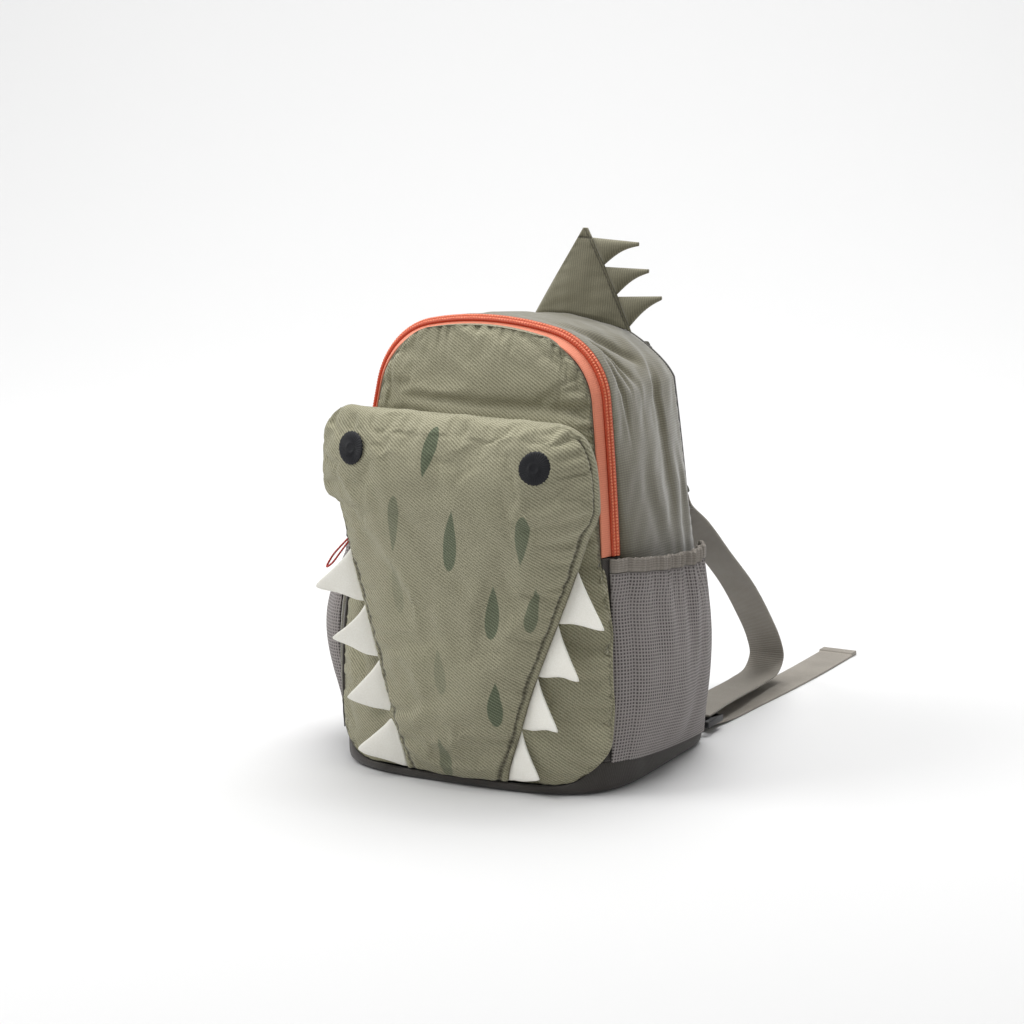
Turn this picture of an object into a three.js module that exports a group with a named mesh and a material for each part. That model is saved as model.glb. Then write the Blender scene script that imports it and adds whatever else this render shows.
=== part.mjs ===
// Kids animal backpack: a small round topped rucksack with a stuffed crocodile head on its front,
// a stuffed tail with three spikes on its top, mesh side pockets, a zip round the front panel
// and two shoulder straps with webbing that lies on the floor behind it.
// Millimetres. +X is the viewer's right, +Y the wearer's side (the back), +Z up.
// The origin is the middle of the base, on the floor.
import * as THREE from "three";
import { mergeVertices } from "three/addons/utils/BufferGeometryUtils.js";

// Driving dimensions of the bag body
const BAG_HEIGHT = 282; // crown of the zip line
const FOOT_HALF = 94; // half width of the zip line at the floor
const SHOULDER_RADIUS = 45; // top corners of the zip line
const SHOULDER_LEAN = 0.134; // how far the sides lean in where the corners start, radians
const TOP_SLOPE = 0.21; // fall of the top where the corners start, radians
const FRONT_DEPTH = 54; // zip line ahead of the origin, at the floor
const FRONT_LEAN = 18; // how far the zip line leans back from foot to crown
const BACK_DEPTH = 80; // back seam behind the origin, at the floor
const BACK_LEAN = 10; // how far the back seam leans forward on its way up
const BACK_DROP = 9; // the top falls by this much from the zip to the back seam
const CLEARANCE = 0.3; // gap between sewn neighbours

// Driving dimensions of the zip band and the gusset
const BAND_WIDTH = 13; // zip tape and teeth, or the charcoal facing below them
const BAND_TURN = 1.08; // how far the band is turned from the front to the side, radians
const TAPE_THICKNESS = 1.2;
const CHAIN_WIDTH = 5.6;
const CHAIN_THICKNESS = 1.8;
const CHAIN_SHIFT = 3.2; // teeth line behind the middle of the band
const ZIP_END = 146.5; // height at which the zip stops on both sides
const GUSSET_WALL = 2;
const SIDE_BULGE = 13; // how far the sides swell between the seams, where they swell most
const BACK_GROW = -0.5; // back seam outside the zip line
const BACK_TUCK = 6; // how much rounder the back seam's upper corners are

// Driving dimensions of the padded panels
const PANEL_RISE = 0.8; // lower edge of the front panel above the rim of the base
const PANEL_CORNER = 27; // radius of its lower corners
const PANEL_PAD = 6; // padding in its middle
const PANEL_EDGE = 2; // thickness at its seam
const BELLY = 22; // how far the panel swells ahead of its seam
const BACK_PAD = 7; // padding of the back panel
const BACK_EDGE = 2.5;

// Driving dimensions of the base
const TRAY_SIDE_OUT = 5; // how far it stands outside the zip line
const TRAY_FRONT_OUT = 28; // how far it reaches under the belly
const TRAY_BACK_OUT = 4; // how far it reaches behind the back seam
const TRAY_CENTRE = 5; // widest line of the tray, behind the origin
const TRAY_WALL = 2.5;
const TRAY_FRONT_ROUND = 3.6; // squareness of the front corners
const TRAY_BACK_ROUND = 10; // squareness of the back corners
const RIM_FRONT = 6; // height of the rim under the front panel
const RIM_SIDE = 20; // height of the rim at the front end of the sides
const RIM_BACK = 7; // height of the rim at the back

// Driving dimensions of the head
const HEAD_RISE = 0.4; // lower edge of the snout above the panel's
const HEAD_DROP = 51; // top of the brow below the crown of the zip line
const HEAD_HALF = 94;
const HEAD_REACH = 82; // depth of its lower edge seam ahead of the origin
const HEAD_PUFF = 27; // stuffing ahead of the edge seam
const HEAD_EDGE = 2; // thickness of the edge seam
const HEAD_SEAT = 0.9; // gap between the stuffed head and the panel behind it
const HEAD_TOP_ROUND = 34; // how far below its top edge the brow is full
const HEAD_BACK_ROUND = 26; // how far in from its edge the head leans on the panel
const HEAD_SIDE_ROUND = 0.62; // how far in from its sides it is full, as a share of its half width
const EYE_RADIUS = 9.8;
const EYE_THICKNESS = 1.2;
const EYE_INSET = 32; // middle of an eye inside the brow's side
const EYE_DROP = 23; // middle of an eye below the brow's top

// Driving dimensions of the teeth
const TOOTH_FIRST = 0.3; // height of the lowest tooth above the head's foot
const TOOTH_PITCH = 33.6;
const TOOTH_BASE = 32.9; // length of a tooth along the seam
const TOOTH_LIFT = 7; // how far a tip stands out forwards
const TOOTH_THICKNESS = 3.6;
const TOOTH_RIM = 0.4; // thickness at its edges as a share of its middle

// Driving dimensions of the side pockets
const POCKET_WALL = 1;
const POCKET_SEAT = 1.7; // gap between its edges and the side behind it
const POCKET_BULGE = 8.6; // how far a pocket stands off the side
const POCKET_DROP = 1; // front of its hem below the zip's end
const POCKET_FALL = 11.5; // how much lower its hem lies at the back
const POCKET_START = -0.085; // right pocket's front edge, a share of the side's depth, on the facing
const POCKET_SLACK = 0.18; // how much further back the left pocket starts
const POCKET_FULLNESS = 18; // how much more the left pocket stands off, near its front
const POCKET_END = 0.97;
const HEM_HEIGHT = 9;
const HEM_THICKNESS = 3.2;
const GATHER_COUNT = 7;
const GATHER_DEPTH = 1.1;

// Driving dimensions of the tail
const TAIL_LEFT = -18;
const TAIL_RIGHT = 50;
const TAIL_DEPTH = 62; // middle of its foot behind the origin
const TAIL_HEIGHT = 48; // apex above the crown of the zip line
const TAIL_TOP_X = 18;
const TAIL_THICKNESS = 15;
const TAIL_SEAT = 0.6; // gap between its foot and the top of the bag
const TAIL_EDGE = 1.2; // thickness of its side seams
const TAIL_TIP = 3; // thickness and width of the blunt apex
const SPIKE_LENGTH = 27;
const SPIKE_THICKNESS = 9;
const SPIKE_TIP = 2.4;

// Driving dimensions of the straps
const STRAP_WIDTH = 38;
const STRAP_THICKNESS = 8;
const STRAP_REACH = 12; // how far its middle stands off the back seam
const STRAP_END_WIDTH = 30;
const WEBBING_WIDTH = 25;
const WEBBING_THICKNESS = 1.6;
const LOOP_REACH = 157; // how far the loop reaches behind the back seam
const FREE_REACH = 255; // how far the free end reaches behind the back seam
const WEBBING_LEAD = 6; // how far it runs on in line with the padded strap
const LOCK_LENGTH = 24;
const LOCK_WIDTH = 33;
const LOCK_THICKNESS = 4.4;
const LOCK_BAR = 3.6;
const LOCK_HEIGHT = 8; // middle of the ladder lock above the floor
const LOCK_INSET = 15; // middle of the ladder lock inside the zip line
const LOCK_GAP = 5; // between the ladder lock and the back
const TAB_HEIGHT = 13; // where its tab is sewn to the back

// Driving dimensions of the zip's slider and pull
const SLIDER_LENGTH = 11;
const SLIDER_RISE = -1; // middle of the slider above the zip's end
const SLIDER_WIDTH = 8;
const SLIDER_HEIGHT = 3.4;
const PULL_LENGTH = 22;
const PULL_WIDTH = 5;
const CORD_RADIUS = 0.8;

// Places that follow from these
const TRAY_HALF = FOOT_HALF + TRAY_SIDE_OUT;
const TRAY_FRONT = FRONT_DEPTH + TRAY_FRONT_OUT;
const TRAY_BACK = BACK_DEPTH + TRAY_BACK_OUT;
const FACING_TOP = ZIP_END - 3 * CLEARANCE;
const HEAD_TOP = BAG_HEIGHT - HEAD_DROP;
const EYE_X = HEAD_HALF - EYE_INSET;
const EYE_Z = HEAD_TOP - EYE_DROP;
const POCKET_TOP_FRONT = ZIP_END - POCKET_DROP;
const POCKET_TOP_BACK = POCKET_TOP_FRONT - POCKET_FALL;
const TAIL_TOP = BAG_HEIGHT + TAIL_HEIGHT;
const LOCK_X = FOOT_HALF - LOCK_INSET;

// Colours and roughness of the parts
const FINISHES = {
  sageTwill: [0x8b8e74, 0.92],
  oliveNylon: [0x5f6052, 0.8],
  charcoalNylon: [0x3f3d3b, 0.8],
  orangeTape: [0xef7f5a, 0.8],
  orangeCoil: [0xd9522f, 0.5],
  greyMesh: [0x7b7674, 0.9],
  greyWebbing: [0x76726c, 0.85],
  offWhiteFelt: [0xe3e1d6, 0.95],
  blackThread: [0x1d1e24, 0.7],
  blackPlastic: [0x2a2a2a, 0.45],
  redCord: [0xc2453a, 0.75],
};

// Sections of the front panel, from foot to crown: height as a share of the bag's,
// belly as a share of BELLY.
const PANEL_SECTIONS = [
  { height: 0.0, belly: 0.88 },
  { height: 0.14, belly: 0.97 },
  { height: 0.26, belly: 1.0 },
  { height: 0.43, belly: 0.8 },
  { height: 0.62, belly: 0.62 },
  { height: 0.75, belly: 0.5 },
  { height: 0.88, belly: 0.42 },
  { height: 0.95, belly: 0.34 },
  { height: 1.0, belly: 0.0 },
];

// Creases of the front panel at its side seams: height as a share of the bag's, side -1 or 1,
// reach and width in shares of the panel's half width, depth as a share of BELLY.
const PANEL_CREASES = [
  { height: 0.84, side: 1, reach: 0.35, width: 0.1, depth: 0.08 },
  { height: 0.76, side: 1, reach: 0.3, width: 0.09, depth: 0.11 },
  { height: 0.5, side: 1, reach: 0.3, width: 0.1, depth: 0.11 },
  { height: 0.36, side: 1, reach: 0.35, width: 0.11, depth: 0.15 },
  { height: 0.2, side: 1, reach: 0.3, width: 0.1, depth: 0.09 },
  { height: 0.8, side: -1, reach: 0.3, width: 0.1, depth: 0.09 },
  { height: 0.42, side: -1, reach: 0.3, width: 0.1, depth: 0.11 },
];

// Sections of the sides from the base to the shoulders: height as a share of the bag's,
// bulge as a share of SIDE_BULGE.
const SIDE_SECTIONS = [
  { height: 0.0, bulge: 0.15 },
  { height: 0.1, bulge: 0.6 },
  { height: 0.28, bulge: 1.0 },
  { height: 0.5, bulge: 0.75 },
  { height: 0.65, bulge: 0.45 },
  { height: 0.85, bulge: 0.2 },
  { height: 1.0, bulge: 0.12 },
];

// How the left side has settled apart from the right one: height as a share of the bag's,
// shift is how far outwards it lies, from is the distance from the middle where that begins.
const LEFT_SECTIONS = [
  { height: 0.0, shift: 0.0, from: 72 },
  { height: 0.14, shift: 2.6, from: 72 },
  { height: 0.3, shift: 4.2, from: 72 },
  { height: 0.45, shift: 2.4, from: 72 },
  { height: 0.55, shift: 0.0, from: 60 },
  { height: 0.7, shift: -2.2, from: 40 },
  { height: 0.85, shift: -4.0, from: 30 },
  { height: 1.0, shift: -4.6, from: 20 },
];

// Folds of the gusset: a start and an end, each as a share along the arch (0 right foot,
// 1 left foot) and a share of the depth, width as a share of the depth, depth in SIDE_BULGE.
const GUSSET_FOLDS = [
  { fromArch: 0.41, fromDepth: 0.1, toArch: 0.29, toDepth: 0.62, width: 0.05, depth: 0.26 },
  { fromArch: 0.37, fromDepth: 0.12, toArch: 0.25, toDepth: 0.42, width: 0.045, depth: 0.2 },
  { fromArch: 0.27, fromDepth: 0.62, toArch: 0.22, toDepth: 0.7, width: 0.05, depth: 0.16 },
  { fromArch: 0.6, fromDepth: 0.12, toArch: 0.72, toDepth: 0.58, width: 0.05, depth: 0.24 },
  { fromArch: 0.75, fromDepth: 0.5, toArch: 0.79, toDepth: 0.68, width: 0.05, depth: 0.16 },
];

// Sections of the head, from the end of the snout to the top of the brow: rise as a share of
// the head's height, left and right as shares of HEAD_HALF, edge as a share of HEAD_REACH,
// puff as a share of HEAD_PUFF.
const HEAD_SECTIONS = [
  { rise: 0.0, left: 0.362, right: 0.375, edge: 0.985, puff: 0.1 },
  { rise: 0.04, left: 0.38, right: 0.392, edge: 0.985, puff: 0.24 },
  { rise: 0.12, left: 0.44, right: 0.452, edge: 0.985, puff: 0.4 },
  { rise: 0.266, left: 0.55, right: 0.552, edge: 0.97, puff: 0.5 },
  { rise: 0.413, left: 0.67, right: 0.674, edge: 0.93, puff: 0.6 },
  { rise: 0.555, left: 0.785, right: 0.797, edge: 0.9, puff: 0.7 },
  { rise: 0.64, left: 0.84, right: 0.864, edge: 0.89, puff: 0.8 },
  { rise: 0.69, left: 0.87, right: 0.902, edge: 0.885, puff: 0.87 },
  { rise: 0.71, left: 0.93, right: 0.925, edge: 0.885, puff: 0.9 },
  { rise: 0.73, left: 0.98, right: 0.95, edge: 0.885, puff: 0.93 },
  { rise: 0.77, left: 1.005, right: 0.982, edge: 0.885, puff: 0.98 },
  { rise: 0.884, left: 1.0, right: 0.962, edge: 0.89, puff: 1.0 },
  { rise: 0.93, left: 0.985, right: 0.932, edge: 0.9, puff: 1.0 },
  { rise: 0.965, left: 0.945, right: 0.885, edge: 0.91, puff: 1.0 },
  { rise: 0.988, left: 0.88, right: 0.81, edge: 0.92, puff: 1.0 },
  { rise: 1.0, left: 0.79, right: 0.72, edge: 0.93, puff: 1.0 },
];

// Tips of the teeth, from the lowest up: reach is how far each stands out sideways, rise how
// far it is turned up.
const TOOTH_TIPS = {
  right: [
    { reach: 24, rise: 4 },
    { reach: 27, rise: 2.5 },
    { reach: 30, rise: 2 },
    { reach: 33, rise: 0 },
  ],
  left: [
    { reach: 31, rise: 8 },
    { reach: 29, rise: 6 },
    { reach: 27.5, rise: 9 },
    { reach: 28, rise: 7 },
  ],
};

// Sections of a tooth from its seam to its tip: reach as a share of the tip's, high and low
// as shares of TOOTH_BASE, thick as a share of TOOTH_THICKNESS.
const TOOTH_SECTIONS = [
  { reach: 0.0, high: 1.0, low: 0.0, thick: 0.5 },
  { reach: 0.25, high: 0.82, low: 0.02, thick: 1.0 },
  { reach: 0.6, high: 0.53, low: 0.04, thick: 0.95 },
  { reach: 0.9, high: 0.21, low: 0.015, thick: 0.7 },
  { reach: 1.0, high: 0.07, low: 0.015, thick: 0.35 },
];

// Sections of a pocket from its foot to its hem: rise as a share of its height,
// off as a share of POCKET_BULGE, gather as a share of GATHER_DEPTH.
const POCKET_SECTIONS = [
  { rise: 0.0, off: 0.04, gather: 0.0 },
  { rise: 0.08, off: 0.4, gather: 0.05 },
  { rise: 0.25, off: 0.85, gather: 0.1 },
  { rise: 0.5, off: 1.0, gather: 0.3 },
  { rise: 0.8, off: 1.0, gather: 0.75 },
  { rise: 1.0, off: 0.95, gather: 1.0 },
];

// Spikes of the tail, from the top one down: low and high are where its foot sits on the
// tail's right edge, rise is the height of its tip, all as shares from the tail's foot to its
// apex, and out is how far the tip stands out as a share of SPIKE_LENGTH.
const TAIL_SPIKES = [
  { high: 0.9, low: 0.62, rise: 0.871, out: 1.045 },
  { high: 0.6, low: 0.33, rise: 0.612, out: 0.97 },
  { high: 0.31, low: 0.04, rise: 0.354, out: 0.975 },
];

// Middle line of the right padded strap, from its top seam to its lower end: across as a share
// of FOOT_HALF, behind as a share of STRAP_REACH behind the back seam, high as a share of the
// bag's height.
const STRAP_PATH = [
  { across: 0.383, behind: -0.1333, high: 0.9078 },
  { across: 0.3936, behind: 0.5833, high: 0.8723 },
  { across: 0.4362, behind: 1.0, high: 0.8085 },
  { across: 0.5, behind: 0.8333, high: 0.727 },
  { across: 0.5745, behind: 0.5833, high: 0.6525 },
  { across: 0.6489, behind: 0.5, high: 0.5957 },
  { across: 0.7021, behind: 0.8333, high: 0.5532 },
];

// Middle line of the webbing from below the padded strap's end down to the ladder lock: the
// same, with behind as a share of LOOP_REACH.
const LOOP_PATH = [
  { across: 0.766, behind: 0.1783, high: 0.4894 },
  { across: 0.7766, behind: 0.4013, high: 0.3936 },
  { across: 0.7766, behind: 0.6688, high: 0.2837 },
  { across: 0.7766, behind: 0.8471, high: 0.1915 },
  { across: 0.7819, behind: 0.9682, high: 0.1135 },
  { across: 0.7872, behind: 1.0, high: 0.0674 },
  { across: 0.7872, behind: 0.949, high: 0.0372 },
  { across: 0.7926, behind: 0.7771, high: 0.0301 },
  { across: 0.8085, behind: 0.535, high: 0.0355 },
  { across: 0.8298, behind: 0.2994, high: 0.0411 },
];

// Middle line of the free end of the webbing, past the ladder lock and along the floor: behind
// as a share of FREE_REACH, lift as a share of half the webbing's thickness.
const FREE_END_PATH = [
  { across: 0.8617, behind: 0.2157, lift: 1.5 },
  { across: 0.8936, behind: 0.3922, lift: 1.0 },
  { across: 0.9255, behind: 0.5686, lift: 1.0 },
  { across: 0.9468, behind: 0.7451, lift: 1.0 },
  { across: 0.9574, behind: 1.0, lift: 1.0 },
];

// Sections of the slider along the zip: rise as a share of its length, wide and high as shares
// of its width and height.
const SLIDER_SECTIONS = [
  { rise: -0.5, wide: 0.6, high: 0.5 },
  { rise: -0.35, wide: 0.9, high: 0.9 },
  { rise: 0.2, wide: 1.0, high: 1.0 },
  { rise: 0.5, wide: 0.8, high: 0.6 },
];

// Route of the pull's cord from the slider and back: out and rise as shares of PULL_LENGTH,
// wide as a share of PULL_WIDTH.
const PULL_PATH = [
  { out: 0.0, rise: 0.0, wide: -0.25 },
  { out: 0.25, rise: -0.32, wide: -0.45 },
  { out: 0.5, rise: -0.65, wide: -0.5 },
  { out: 0.66, rise: -0.86, wide: 0.0 },
  { out: 0.5, rise: -0.65, wide: 0.5 },
  { out: 0.25, rise: -0.32, wide: 0.45 },
  { out: 0.0, rise: 0.0, wide: 0.25 },
];

// How finely the parts are divided
const STEPS = {
  archSide: 11,
  archCorner: 7,
  archTop: 4,
  gussetDepth: 10,
  panelRows: 11,
  panelColumns: 12,
  backColumns: 7,
  trayRound: 48,
  headRows: 20,
  headColumns: 18,
  pocketRows: 6,
  pocketColumns: 21,
  tailColumns: 8,
  strapLength: 14,
  strapColumns: 4,
  webbingLength: 26,
  pull: 24,
};

// Curves and tables

const clamp = (value, low, high) => Math.min(Math.max(value, low), high);
const mix = (from, to, share) => from + (to - from) * share;

// Height of a quarter circle of the given radius at a distance in from its foot.
function quarterRound(distance, radius) {
  const share = clamp(distance / radius, 0, 1);
  return Math.sqrt(1 - (1 - share) ** 2);
}

// A column of a table at a place between its rows, on a smooth curve through them.
function sample(table, key, column, place) {
  const at = clamp(place, table[0][key], table[table.length - 1][key]);
  let row = 0;
  while (row < table.length - 2 && at > table[row + 1][key]) row += 1;
  const slope = (index) => {
    const before = table[Math.max(index - 1, 0)];
    const after = table[Math.min(index + 1, table.length - 1)];
    return (after[column] - before[column]) / (after[key] - before[key]);
  };
  const span = table[row + 1][key] - table[row][key];
  const t = (at - table[row][key]) / span;
  const start = table[row][column];
  const end = table[row + 1][column];
  const rise = slope(row) * span;
  const fall = slope(row + 1) * span;
  const blend = t * t * (3 - 2 * t);
  return start + (end - start) * blend + rise * t * (1 - t) ** 2 - fall * t * t * (1 - t);
}

// Solids

// A closed body from points and triangles, with its faces turned outwards.
function solid(points, triangles) {
  let volume = 0;
  for (const [a, b, c] of triangles) {
    const [p, q, r] = [points[a], points[b], points[c]];
    volume += p[0] * (q[1] * r[2] - q[2] * r[1]);
    volume += p[1] * (q[2] * r[0] - q[0] * r[2]);
    volume += p[2] * (q[0] * r[1] - q[1] * r[0]);
  }
  const turned = triangles.map(([a, b, c]) => (volume > 0 ? [a, b, c] : [a, c, b]));
  const geometry = new THREE.BufferGeometry();
  geometry.setAttribute("position", new THREE.Float32BufferAttribute(points.flat(), 3));
  geometry.setIndex(turned.flat());
  geometry.computeVertexNormals();
  return geometry;
}

// A sheet with a thickness: two grids of the same size, closed along their four edges.
function thickSheet(front, back) {
  const rows = front.length;
  const columns = front[0].length;
  const points = [...front.flat(), ...back.flat()];
  const far = rows * columns;
  const at = (row, column) => row * columns + column;
  const triangles = [];
  const quad = (a, b, c, d) => triangles.push([a, b, c], [a, c, d]);
  for (let i = 0; i < rows - 1; i += 1) {
    for (let j = 0; j < columns - 1; j += 1) {
      quad(at(i, j), at(i, j + 1), at(i + 1, j + 1), at(i + 1, j));
      quad(far + at(i, j), far + at(i + 1, j), far + at(i + 1, j + 1), far + at(i, j + 1));
    }
  }
  for (let i = 0; i < rows - 1; i += 1) {
    quad(at(i, 0), at(i + 1, 0), far + at(i + 1, 0), far + at(i, 0));
    const last = columns - 1;
    quad(at(i, last), far + at(i, last), far + at(i + 1, last), at(i + 1, last));
  }
  for (let j = 0; j < columns - 1; j += 1) {
    quad(at(0, j), far + at(0, j), far + at(0, j + 1), at(0, j + 1));
    const last = rows - 1;
    quad(at(last, j), at(last, j + 1), far + at(last, j + 1), far + at(last, j));
  }
  return solid(points, triangles);
}

// A body through closed rings of equal length, with its two ends closed by fans.
function loft(rings) {
  const count = rings[0].length;
  const points = rings.flat();
  const triangles = [];
  for (let i = 0; i < rings.length - 1; i += 1) {
    for (let j = 0; j < count; j += 1) {
      const a = i * count + j;
      const b = i * count + ((j + 1) % count);
      triangles.push([a, b, b + count], [a, b + count, a + count]);
    }
  }
  const mean = (ring, axis) => ring.reduce((sum, point) => sum + point[axis], 0) / count;
  const centre = (ring) => [0, 1, 2].map((axis) => mean(ring, axis));
  const first = points.push(centre(rings[0])) - 1;
  const last = points.push(centre(rings[rings.length - 1])) - 1;
  const start = (rings.length - 1) * count;
  for (let j = 0; j < count; j += 1) {
    const next = (j + 1) % count;
    triangles.push([first, next, j], [last, start + j, start + next]);
  }
  return solid(points, triangles);
}

// An extruded body with its shared corners merged.
function welded(geometry) {
  geometry.deleteAttribute("normal");
  geometry.deleteAttribute("uv");
  const merged = mergeVertices(geometry);
  merged.computeVertexNormals();
  return merged;
}

const range = (count) => Array.from({ length: count }, (_, index) => index);

// A grid of points from a function of two shares.
function grid(rows, columns, place) {
  return range(rows + 1).map((i) => range(columns + 1).map((j) => place(i / rows, j / columns)));
}

// The other hand of a piece, mirrored about the middle plane.
function mirrored(geometry) {
  const other = geometry.clone();
  other.scale(-1, 1, 1);
  const index = other.getIndex();
  for (let i = 0; i < index.count; i += 3) {
    const kept = index.getX(i);
    index.setX(i, index.getX(i + 1));
    index.setX(i + 1, kept);
  }
  other.computeVertexNormals();
  return other;
}

// The bag's outline: an arch of two leaning sides, two round shoulders and a crowned top

const leanSin = Math.sin(SHOULDER_LEAN);
const leanCos = Math.cos(SHOULDER_LEAN);
const slopeSin = Math.sin(TOP_SLOPE);
const slopeCos = Math.cos(TOP_SLOPE);
const leanTan = Math.tan(SHOULDER_LEAN);
const slopeTan = Math.tan(TOP_SLOPE);
const topFlatAtFloor = FOOT_HALF - SHOULDER_RADIUS * (leanCos - slopeSin);
const shoulderHeight =
  (BAG_HEIGHT - SHOULDER_RADIUS * (slopeCos - leanSin) - (slopeTan / 2) * topFlatAtFloor) /
  (1 - (slopeTan * leanTan) / 4);
const sideTaper = (leanTan * shoulderHeight) / 2;
const shoulderHalf = FOOT_HALF - sideTaper;
const cornerX = shoulderHalf - SHOULDER_RADIUS * leanCos;
const cornerZ = shoulderHeight - SHOULDER_RADIUS * leanSin;
const topFlat = cornerX + SHOULDER_RADIUS * slopeSin;
const topRise = (slopeTan * topFlat) / 2;

const sideHalf = (z) => FOOT_HALF - sideTaper * (z / shoulderHeight) ** 2;

// Depth of the zip line and of the back seam at a height.
const zipDepth = (z) => -FRONT_DEPTH + FRONT_LEAN * (z / BAG_HEIGHT) ** 1.6;
const backDepth = (z) => BACK_DEPTH - BACK_LEAN * (1 - (1 - z / BAG_HEIGHT) ** 2);

// Half width of the arch at a height, with the outline grown outwards.
function archHalf(z, grow) {
  const radius = SHOULDER_RADIUS + grow;
  const rise = z - cornerZ;
  if (rise < radius * leanSin) return sideHalf(z) + grow;
  if (rise < radius * slopeCos) return cornerX + Math.sqrt(radius ** 2 - rise ** 2);
  return cornerX + radius * slopeSin;
}

// Height of the top of the arch at a place across it.
function archTop(x, grow) {
  const radius = SHOULDER_RADIUS + grow;
  const flat = cornerX + radius * slopeSin;
  const across = Math.abs(x);
  if (across < flat) return cornerZ + radius * slopeCos + topRise * (1 - (across / flat) ** 2);
  return cornerZ + Math.sqrt(Math.max(radius ** 2 - (across - cornerX) ** 2, 0));
}

const ARCH_STEPS = 2 * (STEPS.archSide + STEPS.archCorner + STEPS.archTop);

// A point of the arch and its outward direction. The step runs from the right foot over the
// top to the left foot; foot is the height at which the outline starts.
function archPoint(step, foot) {
  const half = ARCH_STEPS / 2;
  const hand = step <= half ? 1 : -1;
  const along = step <= half ? step : ARCH_STEPS - step;
  let place;
  if (along <= STEPS.archSide) {
    const z = mix(foot, shoulderHeight, along / STEPS.archSide);
    const lean = Math.atan(2 * sideTaper * z / shoulderHeight ** 2);
    place = { x: sideHalf(z), z, nx: Math.cos(lean), nz: Math.sin(lean) };
  } else if (along <= STEPS.archSide + STEPS.archCorner) {
    const share = (along - STEPS.archSide) / STEPS.archCorner;
    const angle = mix(SHOULDER_LEAN, Math.PI / 2 - TOP_SLOPE, share);
    const [nx, nz] = [Math.cos(angle), Math.sin(angle)];
    place = { x: cornerX + SHOULDER_RADIUS * nx, z: cornerZ + SHOULDER_RADIUS * nz, nx, nz };
  } else {
    const share = (along - STEPS.archSide - STEPS.archCorner) / STEPS.archTop;
    const x = topFlat * (1 - share);
    const slope = Math.atan(slopeTan * (1 - share));
    place = { x, z: archTop(x, 0), nx: Math.sin(slope), nz: Math.cos(slope) };
  }
  return { x: place.x * hand, z: place.z, nx: place.nx * hand, nz: place.nz };
}

// The same piece with its left side where it has settled.
function settled(geometry) {
  const places = geometry.getAttribute("position");
  for (let i = 0; i < places.count; i += 1) {
    const x = places.getX(i);
    const height = places.getZ(i) / BAG_HEIGHT;
    const from = sample(LEFT_SECTIONS, "height", "from", height);
    const share = clamp((-x - from) / (FOOT_HALF - from), 0, 1);
    const shift = sample(LEFT_SECTIONS, "height", "shift", height);
    places.setX(i, x - shift * share * share * (3 - 2 * share));
  }
  geometry.computeVertexNormals();
  return geometry;
}

// The zip band, a narrow strip turned between the front and the side

const bandOut = Math.cos(BAND_TURN); // outward share of the way across the band
const bandBack = Math.sin(BAND_TURN); // backward share of it
const bandHalf = BAND_WIDTH / 2;
const gussetFrontGrow = bandHalf * bandOut;
const panelGrow = -gussetFrontGrow - TAPE_THICKNESS - CLEARANCE;
const gussetStart = bandHalf * bandBack + TAPE_THICKNESS * bandOut + CLEARANCE;

// A point on the band at a place of the arch: across from its front edge to its back edge,
// lift off its outer face.
function bandPoint(arch, across, lift) {
  const grow = across * bandOut + lift * bandBack;
  const depth = zipDepth(arch.z) + across * bandBack - lift * bandOut;
  return [arch.x + grow * arch.nx, depth, arch.z + grow * arch.nz];
}

// A strip of the band through places of the arch.
function bandStrip(arches, centre, width, low, high) {
  const lines = [centre - width / 2, centre + width / 2];
  const face = (lift) => arches.map((arch) => lines.map((across) => bandPoint(arch, across, lift)));
  return thickSheet(face(high), face(low));
}

const zipArches = range(ARCH_STEPS + 1).map((step) => archPoint(step, ZIP_END));

const zipTape = () => bandStrip(zipArches, 0, BAND_WIDTH, -TAPE_THICKNESS, 0);

const zipChain = () =>
  bandStrip(zipArches, CHAIN_SHIFT, CHAIN_WIDTH, CLEARANCE, CLEARANCE + CHAIN_THICKNESS);

// The place of the right side of the arch at a height.
const sideArch = (z) => ({ x: sideHalf(z), z, nx: 1, nz: 0 });

// The gusset, from the zip band to the back seam

const gussetFront = (z) => zipDepth(z) + gussetStart;

// How far the gusset stands outside the zip line, by its share of the depth and its height.
function gussetGrow(t, z) {
  const swell = SIDE_BULGE * sample(SIDE_SECTIONS, "height", "bulge", z / BAG_HEIGHT);
  return mix(gussetFrontGrow, BACK_GROW, t) + swell * Math.sqrt(4 * t * (1 - t));
}

// Depth of a fold at a share of the arch and of the depth.
function foldDepth(arch, t) {
  let depth = 0;
  for (const fold of GUSSET_FOLDS) {
    const [dx, dy] = [fold.toArch - fold.fromArch, fold.toDepth - fold.fromDepth];
    const along = ((arch - fold.fromArch) * dx + (t - fold.fromDepth) * dy) / (dx * dx + dy * dy);
    const near = clamp(along, 0, 1);
    const away = Math.hypot(arch - fold.fromArch - near * dx, t - fold.fromDepth - near * dy);
    const fade = Math.sin(Math.PI * clamp(along * 0.9 + 0.05, 0, 1));
    depth += fold.depth * SIDE_BULGE * fade * Math.exp(-((away / fold.width) ** 2));
  }
  return depth;
}

// Height of the rim of the base under a place at the side of the bag.
function rimHeight(x, y) {
  const sideStart = -FRONT_DEPTH + gussetStart;
  const half = FOOT_HALF + panelGrow;
  const inCorner = clamp((Math.abs(x) - (half - PANEL_CORNER)) / PANEL_CORNER, 0, 1);
  const front = RIM_FRONT + PANEL_CORNER * (1 - Math.sqrt(1 - inCorner ** 2));
  if (y < sideStart) return Math.min(front, RIM_SIDE);
  return mix(RIM_SIDE, RIM_BACK, clamp((y - sideStart) / (BACK_DEPTH - sideStart), 0, 1));
}

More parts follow.
